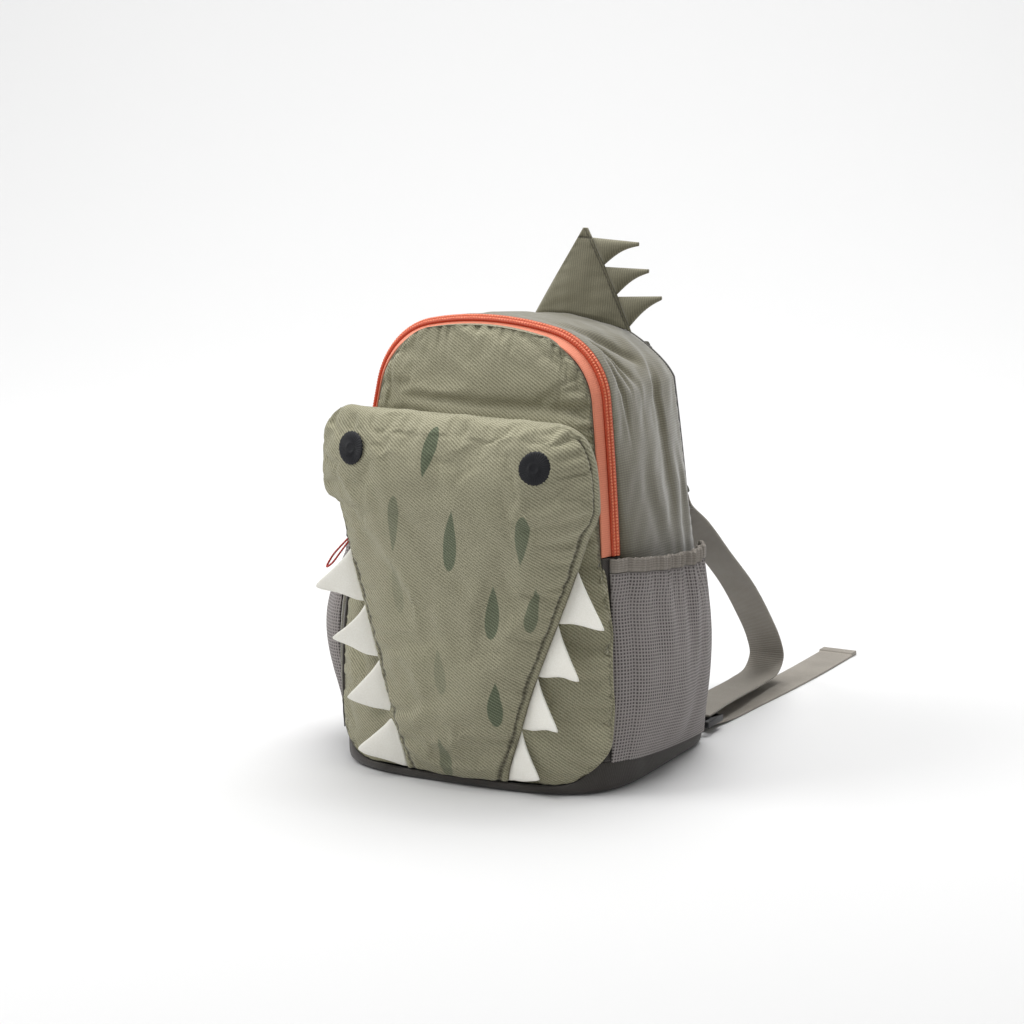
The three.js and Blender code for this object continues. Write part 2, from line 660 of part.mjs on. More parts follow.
function gussetPoint(step, t, lift) {
  const footDepth = mix(gussetFront(0), BACK_DEPTH, t);
  const foot = rimHeight(FOOT_HALF, footDepth) + CLEARANCE;
  const arch = archPoint(step, foot);
  const tuck = BACK_TUCK * t * t * 2 * Math.abs(arch.nx) * clamp(arch.nz, 0, 1);
  const grow = gussetGrow(t, arch.z) + lift - foldDepth(step / ARCH_STEPS, t) - tuck;
  const drop = BACK_DROP * t * clamp(arch.nz, 0, 1);
  const depth = mix(gussetFront(arch.z), backDepth(arch.z), t);
  return [arch.x + grow * arch.nx, depth, arch.z + grow * arch.nz - drop];
}

function gusset() {
  const face = (lift) =>
    range(ARCH_STEPS + 1).map((step) =>
      range(STEPS.gussetDepth + 1).map((row) => gussetPoint(step, row / STEPS.gussetDepth, lift)),
    );
  return thickSheet(face(0), face(-GUSSET_WALL));
}

// Outward place and depth of the bag's side at a height and a share of the gusset's depth.
// A share below 0 lies on the band ahead of the gusset.
function sideSurface(z, t) {
  if (t < 0) {
    const across = bandHalf + t * (backDepth(z) - gussetFront(z));
    const [out, depth] = bandPoint(sideArch(z), across, 0);
    return { out, depth };
  }
  return { out: sideHalf(z) + gussetGrow(t, z), depth: mix(gussetFront(z), backDepth(z), t) };
}

// The charcoal facing, which carries the band on below the zip's end.
function facing() {
  const foot = RIM_SIDE + 2 * CLEARANCE;
  const arches = range(STEPS.archSide).map((step) =>
    sideArch(mix(foot, FACING_TOP, step / (STEPS.archSide - 1))));
  return bandStrip(arches, 0, BAND_WIDTH, -TAPE_THICKNESS, 0);
}

// Height of the top of the gusset at a place.
function gussetTop(x, y) {
  const front = gussetFront(BAG_HEIGHT);
  const t = clamp((y - front) / (backDepth(BAG_HEIGHT) - front), 0, 1);
  return archTop(x, gussetGrow(t, BAG_HEIGHT)) - BACK_DROP * t;
}

// The front panel

const panelFoot = RIM_FRONT + PANEL_RISE;

// Half width of the panel at a height, before and after its lower corners are rounded.
const panelSeam = (z) => archHalf(z, panelGrow);

function panelHalf(z) {
  const low = clamp((panelFoot + PANEL_CORNER - z) / PANEL_CORNER, 0, 1);
  return panelSeam(z) - PANEL_CORNER * (1 - Math.sqrt(1 - low ** 2));
}

function creaseDepth(x, z) {
  const half = panelSeam(z);
  let depth = 0;
  for (const crease of PANEL_CREASES) {
    const fromEdge = 1 - (crease.side * x) / half;
    const rise = (z - crease.height * BAG_HEIGHT) / (crease.width * half);
    depth += crease.depth * BELLY * Math.exp(-(rise ** 2) - (fromEdge / crease.reach) ** 2);
  }
  return depth;
}

// How full the panel is between its seams, 1 in its middle.
function panelFill(x, z) {
  const across = clamp(Math.abs(x) / panelSeam(z), 0, 1);
  return (1 - across ** 3) ** 0.6;
}

// Depth of the panel's front face.
function panelFace(x, z) {
  const seam = zipDepth(z) - bandHalf * bandBack;
  const middle = seam - BELLY * sample(PANEL_SECTIONS, "height", "belly", z / BAG_HEIGHT);
  const fill = panelFill(x, z);
  return mix(seam, middle, fill) + creaseDepth(x, z) * Math.min(1, 3 * fill);
}

function frontPanel() {
  const radius = SHOULDER_RADIUS + panelGrow;
  const rowTop = cornerZ + radius * slopeCos;
  const flat = cornerX + radius * slopeSin;
  const { panelRows, panelColumns } = STEPS;
  const lower = range(panelRows).map((index) =>
    mix(panelFoot, ZIP_END, 1 - Math.cos((Math.PI * index) / (2 * panelRows))));
  const upper = range(panelRows + 1).map((index) =>
    mix(ZIP_END, rowTop, Math.sin((Math.PI * index) / (2 * panelRows))));
  const rows = [...lower, ...upper];
  const face = (padded) => rows.map((row) => range(panelColumns + 1).map((column) => {
    const x = Math.sin(Math.PI * (column / panelColumns - 0.5)) * panelHalf(row);
    const crown = archTop(Math.min(Math.abs(x), flat), panelGrow) - rowTop;
    const z = row + crown * clamp((row - cornerZ) / (rowTop - cornerZ), 0, 1) ** 4;
    const thickness = padded ? mix(PANEL_EDGE, PANEL_PAD, panelFill(x, z)) : 0;
    return [x, panelFace(x, z) + thickness, z];
  }));
  return thickSheet(face(false), face(true));
}

// The back panel

// Its rows run between the two ends of the gusset's back edge.
function backPanel() {
  const rows = range(ARCH_STEPS / 2).map((step) => gussetPoint(step, 1, 0));
  const foot = rows[0][2];
  const top = rows[rows.length - 1][2];
  const face = (outer) => rows.map(([half, , z]) => range(STEPS.backColumns + 1).map((column) => {
    const across = Math.sin(Math.PI * (column / STEPS.backColumns - 0.5));
    const round = quarterRound(top - z, SHOULDER_RADIUS) * quarterRound(z - foot, SHOULDER_RADIUS);
    const pad = mix(BACK_EDGE, BACK_PAD, (1 - across ** 4) * round);
    return [across * half, backDepth(z) + CLEARANCE + (outer ? pad : 0), z];
  }));
  return thickSheet(face(true), face(false));
}

// The base, a shallow tray with a flat bottom

function trayRing(inset, height) {
  return range(STEPS.trayRound).map((index) => {
    const angle = (2 * Math.PI * index) / STEPS.trayRound;
    const [c, s] = [Math.cos(angle), Math.sin(angle)];
    const round = s < 0 ? TRAY_FRONT_ROUND : TRAY_BACK_ROUND;
    const reach = (s < 0 ? TRAY_FRONT + TRAY_CENTRE : TRAY_BACK - TRAY_CENTRE) - inset;
    const x = (TRAY_HALF - inset) * Math.sign(c) * Math.abs(c) ** (2 / round);
    const y = TRAY_CENTRE + reach * Math.sign(s) * Math.abs(s) ** (2 / round);
    return [x, y, typeof height === "number" ? height : height(x, y)];
  });
}

function baseTray() {
  const floor = TRAY_WALL;
  return loft([
    trayRing(5, 0),
    trayRing(1.5, 1.5),
    trayRing(0.4, 3.6),
    trayRing(0, rimHeight),
    trayRing(TRAY_WALL, rimHeight),
    trayRing(TRAY_WALL + 1, floor + 1.5),
    trayRing(TRAY_WALL + 5, floor),
  ]);
}

// The head: a stuffed snout that widens into a brow

const headFoot = panelFoot + HEAD_RISE;
const headRise = (z) => (z - headFoot) / (HEAD_TOP - headFoot);
const headHalf = (z, side) => HEAD_HALF * sample(HEAD_SECTIONS, "rise", side, headRise(z));
const sideOf = (x) => (x < 0 ? "left" : "right");

// Depth of the head's edge seam, which never lies inside the panel behind it.
function headEdge(z) {
  const asDrawn = -HEAD_REACH * sample(HEAD_SECTIONS, "rise", "edge", headRise(z));
  const half = Math.min(headHalf(z, "left"), panelHalf(z));
  return Math.min(asDrawn, panelFace(half, z) - HEAD_SEAT - HEAD_EDGE / 2);
}

function headFront(x, z) {
  const half = headHalf(z, sideOf(x));
  const puff = HEAD_PUFF * sample(HEAD_SECTIONS, "rise", "puff", headRise(z));
  const across = quarterRound(half - Math.abs(x), half * HEAD_SIDE_ROUND);
  const down = quarterRound(HEAD_TOP - z, HEAD_TOP_ROUND);
  return headEdge(z) - HEAD_EDGE / 2 - puff * across * down;
}

function headBack(x, z) {
  const half = headHalf(z, sideOf(x));
  const edge = headEdge(z) + HEAD_EDGE / 2;
  const seat = panelFace(clamp(x, -panelHalf(z), panelHalf(z)), z) - HEAD_SEAT;
  const across = quarterRound(half - Math.abs(x), HEAD_BACK_ROUND);
  const down = quarterRound(HEAD_TOP - z, HEAD_BACK_ROUND);
  return Math.min(mix(edge, seat, (across * down) ** 2), seat);
}

function head() {
  const place = (depth) => (v, u) => {
    const z = mix(headFoot, HEAD_TOP, 1 - (1 - v) ** 1.35);
    const over = Math.sin(((2 * u - 1) * Math.PI) / 2);
    const x = over * headHalf(z, sideOf(over));
    return [x, depth(x, z), z];
  };
  const { headRows, headColumns } = STEPS;
  const face = (depth) => grid(headRows, headColumns, place(depth));
  return thickSheet(face(headFront), face(headBack));
}

// An embroidered eye that follows the brow, on the right with hand 1 and on the left with -1.
function eye(hand) {
  const ring = (radius, lift) => range(16).map((index) => {
    const angle = (Math.PI * index) / 8;
    const x = hand * (EYE_X + radius * Math.cos(angle));
    const z = EYE_Z + radius * Math.sin(angle);
    return [x, headFront(x, z) - CLEARANCE - lift, z];
  });
  return loft([
    ring(EYE_RADIUS * 0.5, 0),
    ring(EYE_RADIUS, 0),
    ring(EYE_RADIUS, EYE_THICKNESS * 0.6),
    ring(EYE_RADIUS * 0.85, EYE_THICKNESS),
    ring(EYE_RADIUS * 0.4, EYE_THICKNESS),
  ]);
}

// A soft felt tooth, a wedge sewn along the snout's seam, whose tip turns forwards. It is
// drawn as one of the right side, with the seam and the tip of the side that it is for.
function tooth(index, side) {
  const tip = TOOTH_TIPS[side][index];
  const low = headFoot + TOOTH_FIRST + index * TOOTH_PITCH;
  const rings = TOOTH_SECTIONS.map((section) => {
    const thick = (TOOTH_THICKNESS * section.thick) / 2;
    const top = low + TOOTH_BASE * section.high;
    const foot = low + TOOTH_BASE * section.low;
    const point = (z, lift) => {
      const seam = mix(headHalf(z, side), headHalf(low, side), section.reach);
      const x = seam + CLEARANCE + tip.reach * section.reach;
      const seat = panelFace(Math.min(x, panelHalf(z)), z) - CLEARANCE - TOOTH_THICKNESS / 2;
      const depth = Math.min(headEdge(z), seat) - TOOTH_LIFT * section.reach;
      return [x, depth + lift, z + tip.rise * section.reach ** 2];
    };
    const middle = (top + foot) / 2;
    return [
      point(foot, thick * TOOTH_RIM),
      point(foot, -thick * TOOTH_RIM),
      point(middle, -thick),
      point(top, -thick * TOOTH_RIM),
      point(top, thick * TOOTH_RIM),
      point(middle, thick),
    ];
  });
  return loft(rings);
}

// The side pockets and their gathered hems

const pocketTop = (t) => mix(POCKET_TOP_FRONT, POCKET_TOP_BACK, clamp(t, 0, 1));

// How far the gathers push the cloth out at a share of the pocket's depth.
const gather = (share) => Math.cos(2 * Math.PI * GATHER_COUNT * share);

// A point of a pocket at shares of its height and depth. It starts at a share of the side's
// depth, and fullness is how much more it stands off near its front.
function pocketPoint({ start, fullness }, rise, share, lift) {
  const t = mix(start, POCKET_END, share);
  const foot = rimHeight(FOOT_HALF, mix(gussetFront(0), BACK_DEPTH, t)) + CLEARANCE;
  const z = mix(foot, pocketTop(t) - HEM_HEIGHT, rise);
  const side = sideSurface(z, t);
  const belly = Math.sin(Math.PI * clamp(share, 0, 1)) ** 0.55;
  const full = fullness * (1 - share) ** 1.5 * Math.sin(Math.PI * Math.min(1, rise * 1.1));
  const off = (POCKET_BULGE + full) * sample(POCKET_SECTIONS, "rise", "off", rise);
  const ripple = GATHER_DEPTH * sample(POCKET_SECTIONS, "rise", "gather", rise) * gather(share);
  return [side.out + POCKET_SEAT + POCKET_WALL + (off + ripple) * belly + lift, side.depth, z];
}

function pocket(form) {
  const face = (lift) =>
    grid(STEPS.pocketRows, STEPS.pocketColumns, (v, u) => pocketPoint(form, v, u, lift));
  return thickSheet(face(0), face(-POCKET_WALL));
}

function pocketHem(form) {
  const rings = range(STEPS.pocketColumns + 1).map((index) => {
    const share = index / STEPS.pocketColumns;
    const foot = pocketPoint(form, 1, share, -POCKET_WALL / 2);
    const t = mix(form.start, POCKET_END, share);
    const bottom = foot[2] + CLEARANCE;
    const top = pocketTop(t);
    const inner = sideSurface(top, t).out + POCKET_SEAT;
    const half = (HEM_THICKNESS / 2) * (1 + 0.16 * gather(share));
    const centre = Math.max(foot[0], inner + half);
    const middle = (bottom + top) / 2;
    const edge = half * 0.55;
    return [
      [centre - edge, foot[1], bottom],
      [centre - half, foot[1], middle],
      [centre - edge, foot[1], top],
      [centre + edge, foot[1], top],
      [centre + half, foot[1], middle],
      [centre + edge, foot[1], bottom],
    ];
  });
  return loft(rings);
}

// The tail: a stuffed triangle whose foot follows the top of the bag, and three spikes

function tailEdge(hand, rise) {
  const foot = hand < 0 ? TAIL_LEFT : TAIL_RIGHT;
  return mix(foot, TAIL_TOP_X + (hand * TAIL_TIP) / 2, rise);
}

const tailZ = (x, y, rise) => mix(gussetTop(x, y) + TAIL_SEAT, TAIL_TOP, rise);

function tail() {
  const rises = [0, 0.06, 0.2, 0.4, 0.6, 0.8, 0.93, 1];
  const face = (hand) => rises.map((rise) => range(STEPS.tailColumns + 1).map((column) => {
    const over = (2 * column) / STEPS.tailColumns - 1;
    const x = mix(tailEdge(-1, rise), tailEdge(1, rise), (over + 1) / 2);
    const full = mix(TAIL_THICKNESS, TAIL_TIP, rise ** 1.2) * mix(0.7, 1, Math.min(1, rise * 16));
    const y = TAIL_DEPTH + (hand / 2) * mix(TAIL_EDGE, full, (1 - over ** 2) ** 0.6);
    return [x, y, tailZ(x, y, rise)];
  }));
  return thickSheet(face(1), face(-1));
}

function tailSpike(row) {
  const [highX, lowX] = [row.high, row.low].map((rise) => tailEdge(1, rise) + CLEARANCE);
  const [highZ, lowZ] = [row.high, row.low].map((rise) => tailZ(tailEdge(1, rise), TAIL_DEPTH, rise));
  const tipX = tailEdge(1, (row.high + row.low) / 2) + row.out * SPIKE_LENGTH;
  const tipZ = tailZ(TAIL_RIGHT, TAIL_DEPTH, row.rise);
  const shares = [0, 0.12, 0.4, 0.7, 0.93, 1];
  const rings = shares.map((share) => {
    const sag = Math.sin(Math.PI * share) * 0.1 * (tipX - lowX);
    const upper = [mix(highX, tipX, share), mix(highZ, tipZ + SPIKE_TIP / 2, share)];
    const lower = [mix(lowX, tipX, share), mix(lowZ, tipZ - SPIKE_TIP / 2, share) + sag];
    const grown = share === 0 ? 0.3 : 1;
    const thick = mix(SPIKE_THICKNESS, SPIKE_TIP, share) * grown;
    return range(8).map((index) => {
      const angle = (Math.PI * index) / 4;
      const along = (1 + Math.cos(angle)) / 2;
      const x = mix(lower[0], upper[0], along);
      const z = mix(lower[1], upper[1], along);
      return [x, TAIL_DEPTH + (thick / 2) * Math.sin(angle), z];
    });
  });
  return loft(rings);
}

// The shoulder straps, their webbing and the ladder locks

// Places of a path table, with reach as the length that its behind column follows.
const route = (rows, reach) => rows.map(({ across, behind, high, lift }) => ({
  x: across * FOOT_HALF,
  y: BACK_DEPTH + behind * reach,
  z: lift === undefined ? high * BAG_HEIGHT : (lift * WEBBING_THICKNESS) / 2,
}));

// Points along a path with the direction across its face, which keeps its width level.
function pathFrames(rows, count) {
  const curve = new THREE.CatmullRomCurve3(rows.map((row) => new THREE.Vector3(row.x, row.y, row.z)));
  return range(count + 1).map((index) => {
    const share = index / count;
    const point = curve.getPointAt(share);
    const along = curve.getTangentAt(share);
    const across = new THREE.Vector3(1, 0, 0).addScaledVector(along, -along.x).normalize();
    const face = new THREE.Vector3().crossVectors(across, along).normalize();
    return { share, point, along, across, face };
  });
}

// A flat band along a path: width is a function of the share along it, thickness of that share
// and of the place across.
function band(rows, count, columns, width, thickness) {
  const frames = pathFrames(rows, count);
  const side = (hand) => frames.map(({ share, point, across, face }) =>
    range(columns + 1).map((column) => {
      const over = (2 * column) / columns - 1;
      const lift = hand * thickness(share, over) / 2;
      const middle = point.clone().addScaledVector(across, (over * width(share)) / 2);
      return middle.addScaledVector(face, lift).toArray();
    }));
  return thickSheet(side(1), side(-1));
}

function shoulderStrap() {
  const width = (share) => mix(STRAP_WIDTH, STRAP_END_WIDTH, clamp(share * 3 - 2, 0, 1));
  const thickness = (share, over) => {
    const ends = Math.min(1, share * 8 + 0.4, (1 - share) * 8 + 0.4);
    return STRAP_THICKNESS * ends * (1 - 0.65 * over ** 4);
  };
  return band(route(STRAP_PATH, STRAP_REACH), STEPS.strapLength, STEPS.strapColumns, width, thickness);
}

const lockY = BACK_DEPTH + BACK_EDGE + CLEARANCE + LOCK_GAP + LOCK_LENGTH / 2;
const webbingOver = LOCK_HEIGHT + LOCK_THICKNESS / 2 + CLEARANCE + WEBBING_THICKNESS / 2;
const webbingUnder = LOCK_HEIGHT - LOCK_THICKNESS / 2 - CLEARANCE - WEBBING_THICKNESS / 2;
const lockEnd = lockY - LOCK_LENGTH / 2;

const webbing = (path, count) => band(path, count, 1, () => WEBBING_WIDTH, () => WEBBING_THICKNESS);

// It starts at the padded strap's end, comes down over the lock and ends on its middle bar.
function webbingLoop() {
  const { point, along } = pathFrames(route(STRAP_PATH, STRAP_REACH), 1)[1];
  const seam = [CLEARANCE, WEBBING_LEAD].map((reach) => point.clone().addScaledVector(along, reach));
  const overLock = { x: LOCK_X, y: lockY + LOCK_LENGTH / 4, z: webbingOver };
  const bar = { x: LOCK_X, y: lockY - LOCK_BAR / 2, z: webbingOver };
  const loop = route(LOOP_PATH, LOOP_REACH);
  return webbing([...seam, ...loop, overLock, bar], STEPS.webbingLength);
}

// It leaves from under the same bar.
function webbingFreeEnd() {
  const bar = { x: LOCK_X, y: lockY - LOCK_BAR / 2, z: webbingUnder };
  const underLock = { x: LOCK_X, y: lockY + LOCK_LENGTH / 2, z: webbingUnder * 0.7 };
  const floor = route(FREE_END_PATH, FREE_REACH);
  return webbing([bar, underLock, ...floor], STEPS.webbingLength / 2);
}

function ladderLock() {
  const [w, l] = [LOCK_WIDTH / 2, LOCK_LENGTH / 2];
  const outline = new THREE.Shape();
  outline.moveTo(-w, -l).lineTo(w, -l).lineTo(w, l).lineTo(-w, l).closePath();
  const slot = (from, to) => {
    const hole = new THREE.Path();
    const side = w - LOCK_BAR;
    hole.moveTo(-side, from).lineTo(-side, to).lineTo(side, to).lineTo(side, from).closePath();
    outline.holes.push(hole);
  };
  slot(-l + LOCK_BAR, -LOCK_BAR / 2);
  slot(LOCK_BAR / 2, l - LOCK_BAR);
  const plate = { depth: LOCK_THICKNESS, bevelEnabled: false, steps: 1 };
  const geometry = new THREE.ExtrudeGeometry(outline, plate);
  geometry.translate(LOCK_X, lockY, LOCK_HEIGHT - LOCK_THICKNESS / 2);
  return welded(geometry);
}

// The short tab that holds the ladder lock to the back's lower seam.
function lockTab() {
  const start = BACK_DEPTH + BACK_EDGE + 3 * CLEARANCE;
  const end = lockEnd - 3 * CLEARANCE;
  return webbing([
    { x: LOCK_X, y: start, z: TAB_HEIGHT },
    { x: LOCK_X, y: (start + end) / 2, z: (TAB_HEIGHT + LOCK_HEIGHT) / 2 + 1 },
    { x: LOCK_X, y: end, z: LOCK_HEIGHT },
  ], 4);
}

// The zip's slider and its cord pull, at the left end of the zip

const sliderLow = CHAIN_THICKNESS + 2 * CLEARANCE;

// The slider of the right side: a small body that rides on the teeth, narrower at its ends.
function zipSlider() {
  const arch = sideArch(ZIP_END + SLIDER_RISE);
  const rings = SLIDER_SECTIONS.map((section) => {
    const half = (SLIDER_WIDTH / 2) * section.wide;
    const corner = (across, lift) => {
      const [x, y, z] = bandPoint(arch, CHAIN_SHIFT + across, lift);
      return [x, y, z + section.rise * SLIDER_LENGTH];
    };
    const high = sliderLow + SLIDER_HEIGHT * section.high;
    return [
      corner(-half, sliderLow),
      corner(half, sliderLow),
      corner(half * 0.7, high),
      corner(-half * 0.7, high),
    ];
  });
  return loft(rings);
}

// The cord pull of the right side: a hairpin of thin cord, both ends at the slider.
function zipPull() {
  const arch = sideArch(ZIP_END + SLIDER_RISE - SLIDER_LENGTH / 2 - CORD_RADIUS - CLEARANCE);
  const [x, y, z] = bandPoint(arch, CHAIN_SHIFT, sliderLow + CORD_RADIUS);
  const points = PULL_PATH.map(
    (row) => new THREE.Vector3(
      x + row.out * PULL_LENGTH,
      y + row.wide * PULL_WIDTH,
      z + row.rise * PULL_LENGTH,
    ),
  );
  const section = new THREE.Shape();
  section.absarc(0, 0, CORD_RADIUS, 0, 2 * Math.PI);
  const path = new THREE.CatmullRomCurve3(points);
  const along = { curveSegments: 3, steps: STEPS.pull, extrudePath: path };
  return welded(new THREE.ExtrudeGeometry(section, along));
}

// The assembly

const backpack = new THREE.Group();
backpack.name = "animal_backpack";

function add(name, finish, geometry) {
  const [color, roughness] = FINISHES[finish];
  const material = new THREE.MeshStandardMaterial({ color, roughness, metalness: 0 });
  const mesh = new THREE.Mesh(geometry, material);
  mesh.name = name;
  backpack.add(mesh);
}

// A piece and its mirror image. The geometry given is the right hand one.
function addPair(name, finish, geometry) {
  add(`${name}_right`, finish, geometry);
  add(`${name}_left`, finish, mirrored(geometry));
}

// The same for pieces that follow the side of the bag.
function addSidePair(name, finish, right, left) {
  add(`${name}_right`, finish, right);
  add(`${name}_left`, finish, settled(mirrored(left)));
}

const rightPocket = { start: POCKET_START, fullness: 0 };
const leftPocket = { start: POCKET_START + POCKET_SLACK, fullness: POCKET_FULLNESS };
add("base_tray", "charcoalNylon", baseTray());
add("front_panel", "sageTwill", settled(frontPanel()));
add("back_panel", "charcoalNylon", settled(backPanel()));
add("gusset", "oliveNylon", settled(gusset()));
add("zip_tape", "orangeTape", settled(zipTape()));
add("zip_chain", "orangeCoil", settled(zipChain()));
add("zip_slider", "blackPlastic", settled(mirrored(zipSlider())));
add("zip_pull", "redCord", settled(mirrored(zipPull())));
addSidePair("facing", "charcoalNylon", facing(), facing());
addSidePair("pocket", "greyMesh", pocket(rightPocket), pocket(leftPocket));
addSidePair("pocket_hem", "greyMesh", pocketHem(rightPocket), pocketHem(leftPocket));
add("head", "sageTwill", head());
add("eye_right", "blackThread", eye(1));
add("eye_left", "blackThread", eye(-1));
for (const index of range(TOOTH_TIPS.right.length)) {
  addSidePair(`tooth_${index + 1}`, "offWhiteFelt", tooth(index, "right"), tooth(index, "left"));
}
add("tail", "oliveNylon", tail());
TAIL_SPIKES.forEach((row, index) => add(`tail_spike_${index + 1}`, "oliveNylon", tailSpike(row)));
addPair("shoulder_strap", "oliveNylon", shoulderStrap());
addPair("webbing_loop", "greyWebbing", webbingLoop());
addPair("webbing_free_end", "greyWebbing", webbingFreeEnd());
addPair("ladder_lock", "blackPlastic", ladderLock());
addPair("lock_tab", "greyWebbing", lockTab());

export default backpack;
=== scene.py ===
# %% [markdown]
# # A kids animal backpack
# The object is a small soft backpack with a stuffed crocodile head on its front panel, a zip round
# that panel, mesh side pockets and a stuffed tail on top. Soft goods can be sculpted, simulated or
# drawn as surfaces from a few measured curves. This lesson draws them as surfaces, because a sewn
# bag is a set of cut panels whose seams must meet, and then gives each panel its folds.
# The frame is loaded first. It holds the measured solids, in metres, with +Z up.

# %% Load the measured frame
import functools
import math

import bpy
import numpy as np
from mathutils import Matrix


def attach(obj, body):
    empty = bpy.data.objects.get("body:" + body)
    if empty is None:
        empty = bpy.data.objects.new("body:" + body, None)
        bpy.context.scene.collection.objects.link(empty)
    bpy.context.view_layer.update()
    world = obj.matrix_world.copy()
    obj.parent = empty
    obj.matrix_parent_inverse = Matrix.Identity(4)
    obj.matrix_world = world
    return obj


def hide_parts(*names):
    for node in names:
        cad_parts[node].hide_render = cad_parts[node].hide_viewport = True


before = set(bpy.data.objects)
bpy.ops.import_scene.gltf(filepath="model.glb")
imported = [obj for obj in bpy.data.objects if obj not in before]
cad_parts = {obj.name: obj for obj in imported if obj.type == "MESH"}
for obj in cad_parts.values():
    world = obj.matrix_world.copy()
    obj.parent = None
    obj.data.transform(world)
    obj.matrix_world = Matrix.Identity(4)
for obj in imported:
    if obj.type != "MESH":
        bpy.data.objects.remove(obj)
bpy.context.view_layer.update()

print("nodes", len(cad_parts))

# %% [markdown]
# ## Camera and light
# The camera stands where the photographer stood, to the right of the bag's front and a little above
# it, with a long lens. It is made first, because everything after it is judged through it.

# %% Camera
AZIMUTH, ELEVATION = math.radians(26.6686), math.radians(11.8644)


def new_object(name, data):
    made = bpy.data.objects.new(name, data)
    bpy.context.scene.collection.objects.link(made)
    return made


camera_data = bpy.data.cameras.new("camera")
camera_data.lens = 120.2
camera_data.sensor_width = 36.0
camera_data.clip_end = 50.0
camera = new_object("camera", camera_data)
camera.location = (0.94058, -1.87830, 0.59802)
camera.rotation_euler = (math.pi / 2 - ELEVATION, 0.0, AZIMUTH)
bpy.context.scene.camera = camera
print("camera", tuple(round(v, 3) for v in camera.location))

# %% [markdown]
# ## Small helpers
# All lengths below are in millimetres, as a pattern cutter writes them, and are turned to metres
# when a mesh is made. A smooth curve through a few rows of numbers stands for each measured line.

# %% Curves through rows of numbers
MM = 0.001
HANDS = (("right", 1), ("left", -1))


def blend(low, high, at):
    t = np.clip((at - low) / (high - low), 0.0, 1.0)
    return t * t * (3 - 2 * t)


def mix(a, b, t):
    return a + (b - a) * t


def hill(away, width):
    """1 where away is 0, and softly down to 0 over about the given width."""
    return np.exp(-((away / width) ** 2))


def signed_power(value, power):
    return np.sign(value) * np.abs(value) ** power


def around(count):
    """Even angles round a circle."""
    return np.arange(count) * 2 * math.pi / count


def crowded(count, even):
    """Shares from -1 to 1 that lie closer near both ends, and even ones mixed in."""
    crowd = np.sin(np.linspace(-math.pi / 2, math.pi / 2, count))
    return mix(crowd, np.linspace(-1, 1, count), even)


def quarter_round(distance, radius):
    share = np.clip(distance / radius, 0.0, 1.0)
    return np.sqrt(np.maximum(1 - (1 - share) ** 2, 0.0))


def curve(rows, at, column=1):
    """A smooth curve through the rows: the first column is the place, the other one the value."""
    rows = np.asarray(rows, float)
    place, value = rows[:, 0], rows[:, column]
    at = np.clip(at, place[0], place[-1])
    row = np.clip(np.searchsorted(place, at, side="left") - 1, 0, len(place) - 2)
    before = np.maximum(np.arange(len(place)) - 1, 0)
    after = np.minimum(np.arange(len(place)) + 1, len(place) - 1)
    slope = (value[after] - value[before]) / (place[after] - place[before])
    span = place[row + 1] - place[row]
    t = (at - place[row]) / span
    ease = t * t * (3 - 2 * t)
    rise = slope[row] * span * t * (1 - t) ** 2
    fall = slope[row + 1] * span * t * t * (1 - t)
    return value[row] + (value[row + 1] - value[row]) * ease + rise - fall


print("half way up a curve", curve([(0, 0), (1, 1)], 0.5))

# %% Soft random folds, the same on every run
def soft_noise(points, wave, seed, count=9):
    """Smooth unevenness of about the given wavelength at points in millimetres."""
    draw = np.random.default_rng(seed)
    total = np.zeros(points.shape[:-1])
    for _ in range(count):
        way = draw.normal(size=3)
        way /= np.linalg.norm(way)
        length = wave * draw.uniform(0.7, 1.5)
        total += np.sin(points @ way * (2 * math.pi / length) + draw.uniform(0, 2 * math.pi))
    return total / math.sqrt(count)


def pinches(edge, run, pitch, width, seed):
    """Short narrow creases that run in from a seam, each with its own place, depth and reach."""
    draw = np.random.default_rng(seed)
    strong, reach = draw.uniform(0.25, 1.0, 97), draw.uniform(3.0, 11.0, 97)
    shift = draw.uniform(0.3, 0.7, 97)
    beat = (run + 400) / pitch
    cell = np.floor(beat).astype(int) % 97
    away = (beat - np.floor(beat) - shift[cell]) * pitch
    return strong[cell] * hill(away, width) * np.exp(-edge / reach[cell])


print("unevenness at the origin", round(float(soft_noise(np.zeros((1, 3)), 30, 1)[0]), 3))

# %% [markdown]
# ## From grids to meshes
# Each cloth piece is a grid of points for its outer face and one for its inner face. The two are
# joined along their edges, so every piece is a closed body with a real thickness. Its UV map is
# laid out in metres along the cloth, so a woven pattern keeps its real size on every piece.

# %% Grids, closed sheets and their cloth maps
pieces = {}


def grid_faces(rows, columns, start=0):
    index = start + np.arange(rows * columns).reshape(rows, columns)
    return np.stack(
        [index[:-1, :-1], index[:-1, 1:], index[1:, 1:], index[1:, :-1]], axis=-1
    ).reshape(-1, 4)


def tube_faces(rows, count, start=0):
    """Faces between neighbouring closed rings."""
    faces = []
    for i in range(rows - 1):
        for j in range(count):
            a, b = start + i * count + j, start + i * count + (j + 1) % count
            faces.append([a, b, b + count, a + count])
    return faces


def cloth_map(grid):
    """Lengths both ways along a grid, in metres, from its middle column and first row."""
    across = np.linalg.norm(np.diff(grid, axis=1), axis=2)
    u = np.concatenate([np.zeros((grid.shape[0], 1)), np.cumsum(across, axis=1)], axis=1)
    u -= u[:, [grid.shape[1] // 2]]
    along = np.linalg.norm(np.diff(grid, axis=0), axis=2).mean(axis=1)
    v = np.concatenate([[0.0], np.cumsum(along)])[:, None] * np.ones_like(u)
    return np.stack([u, v], axis=-1) * MM


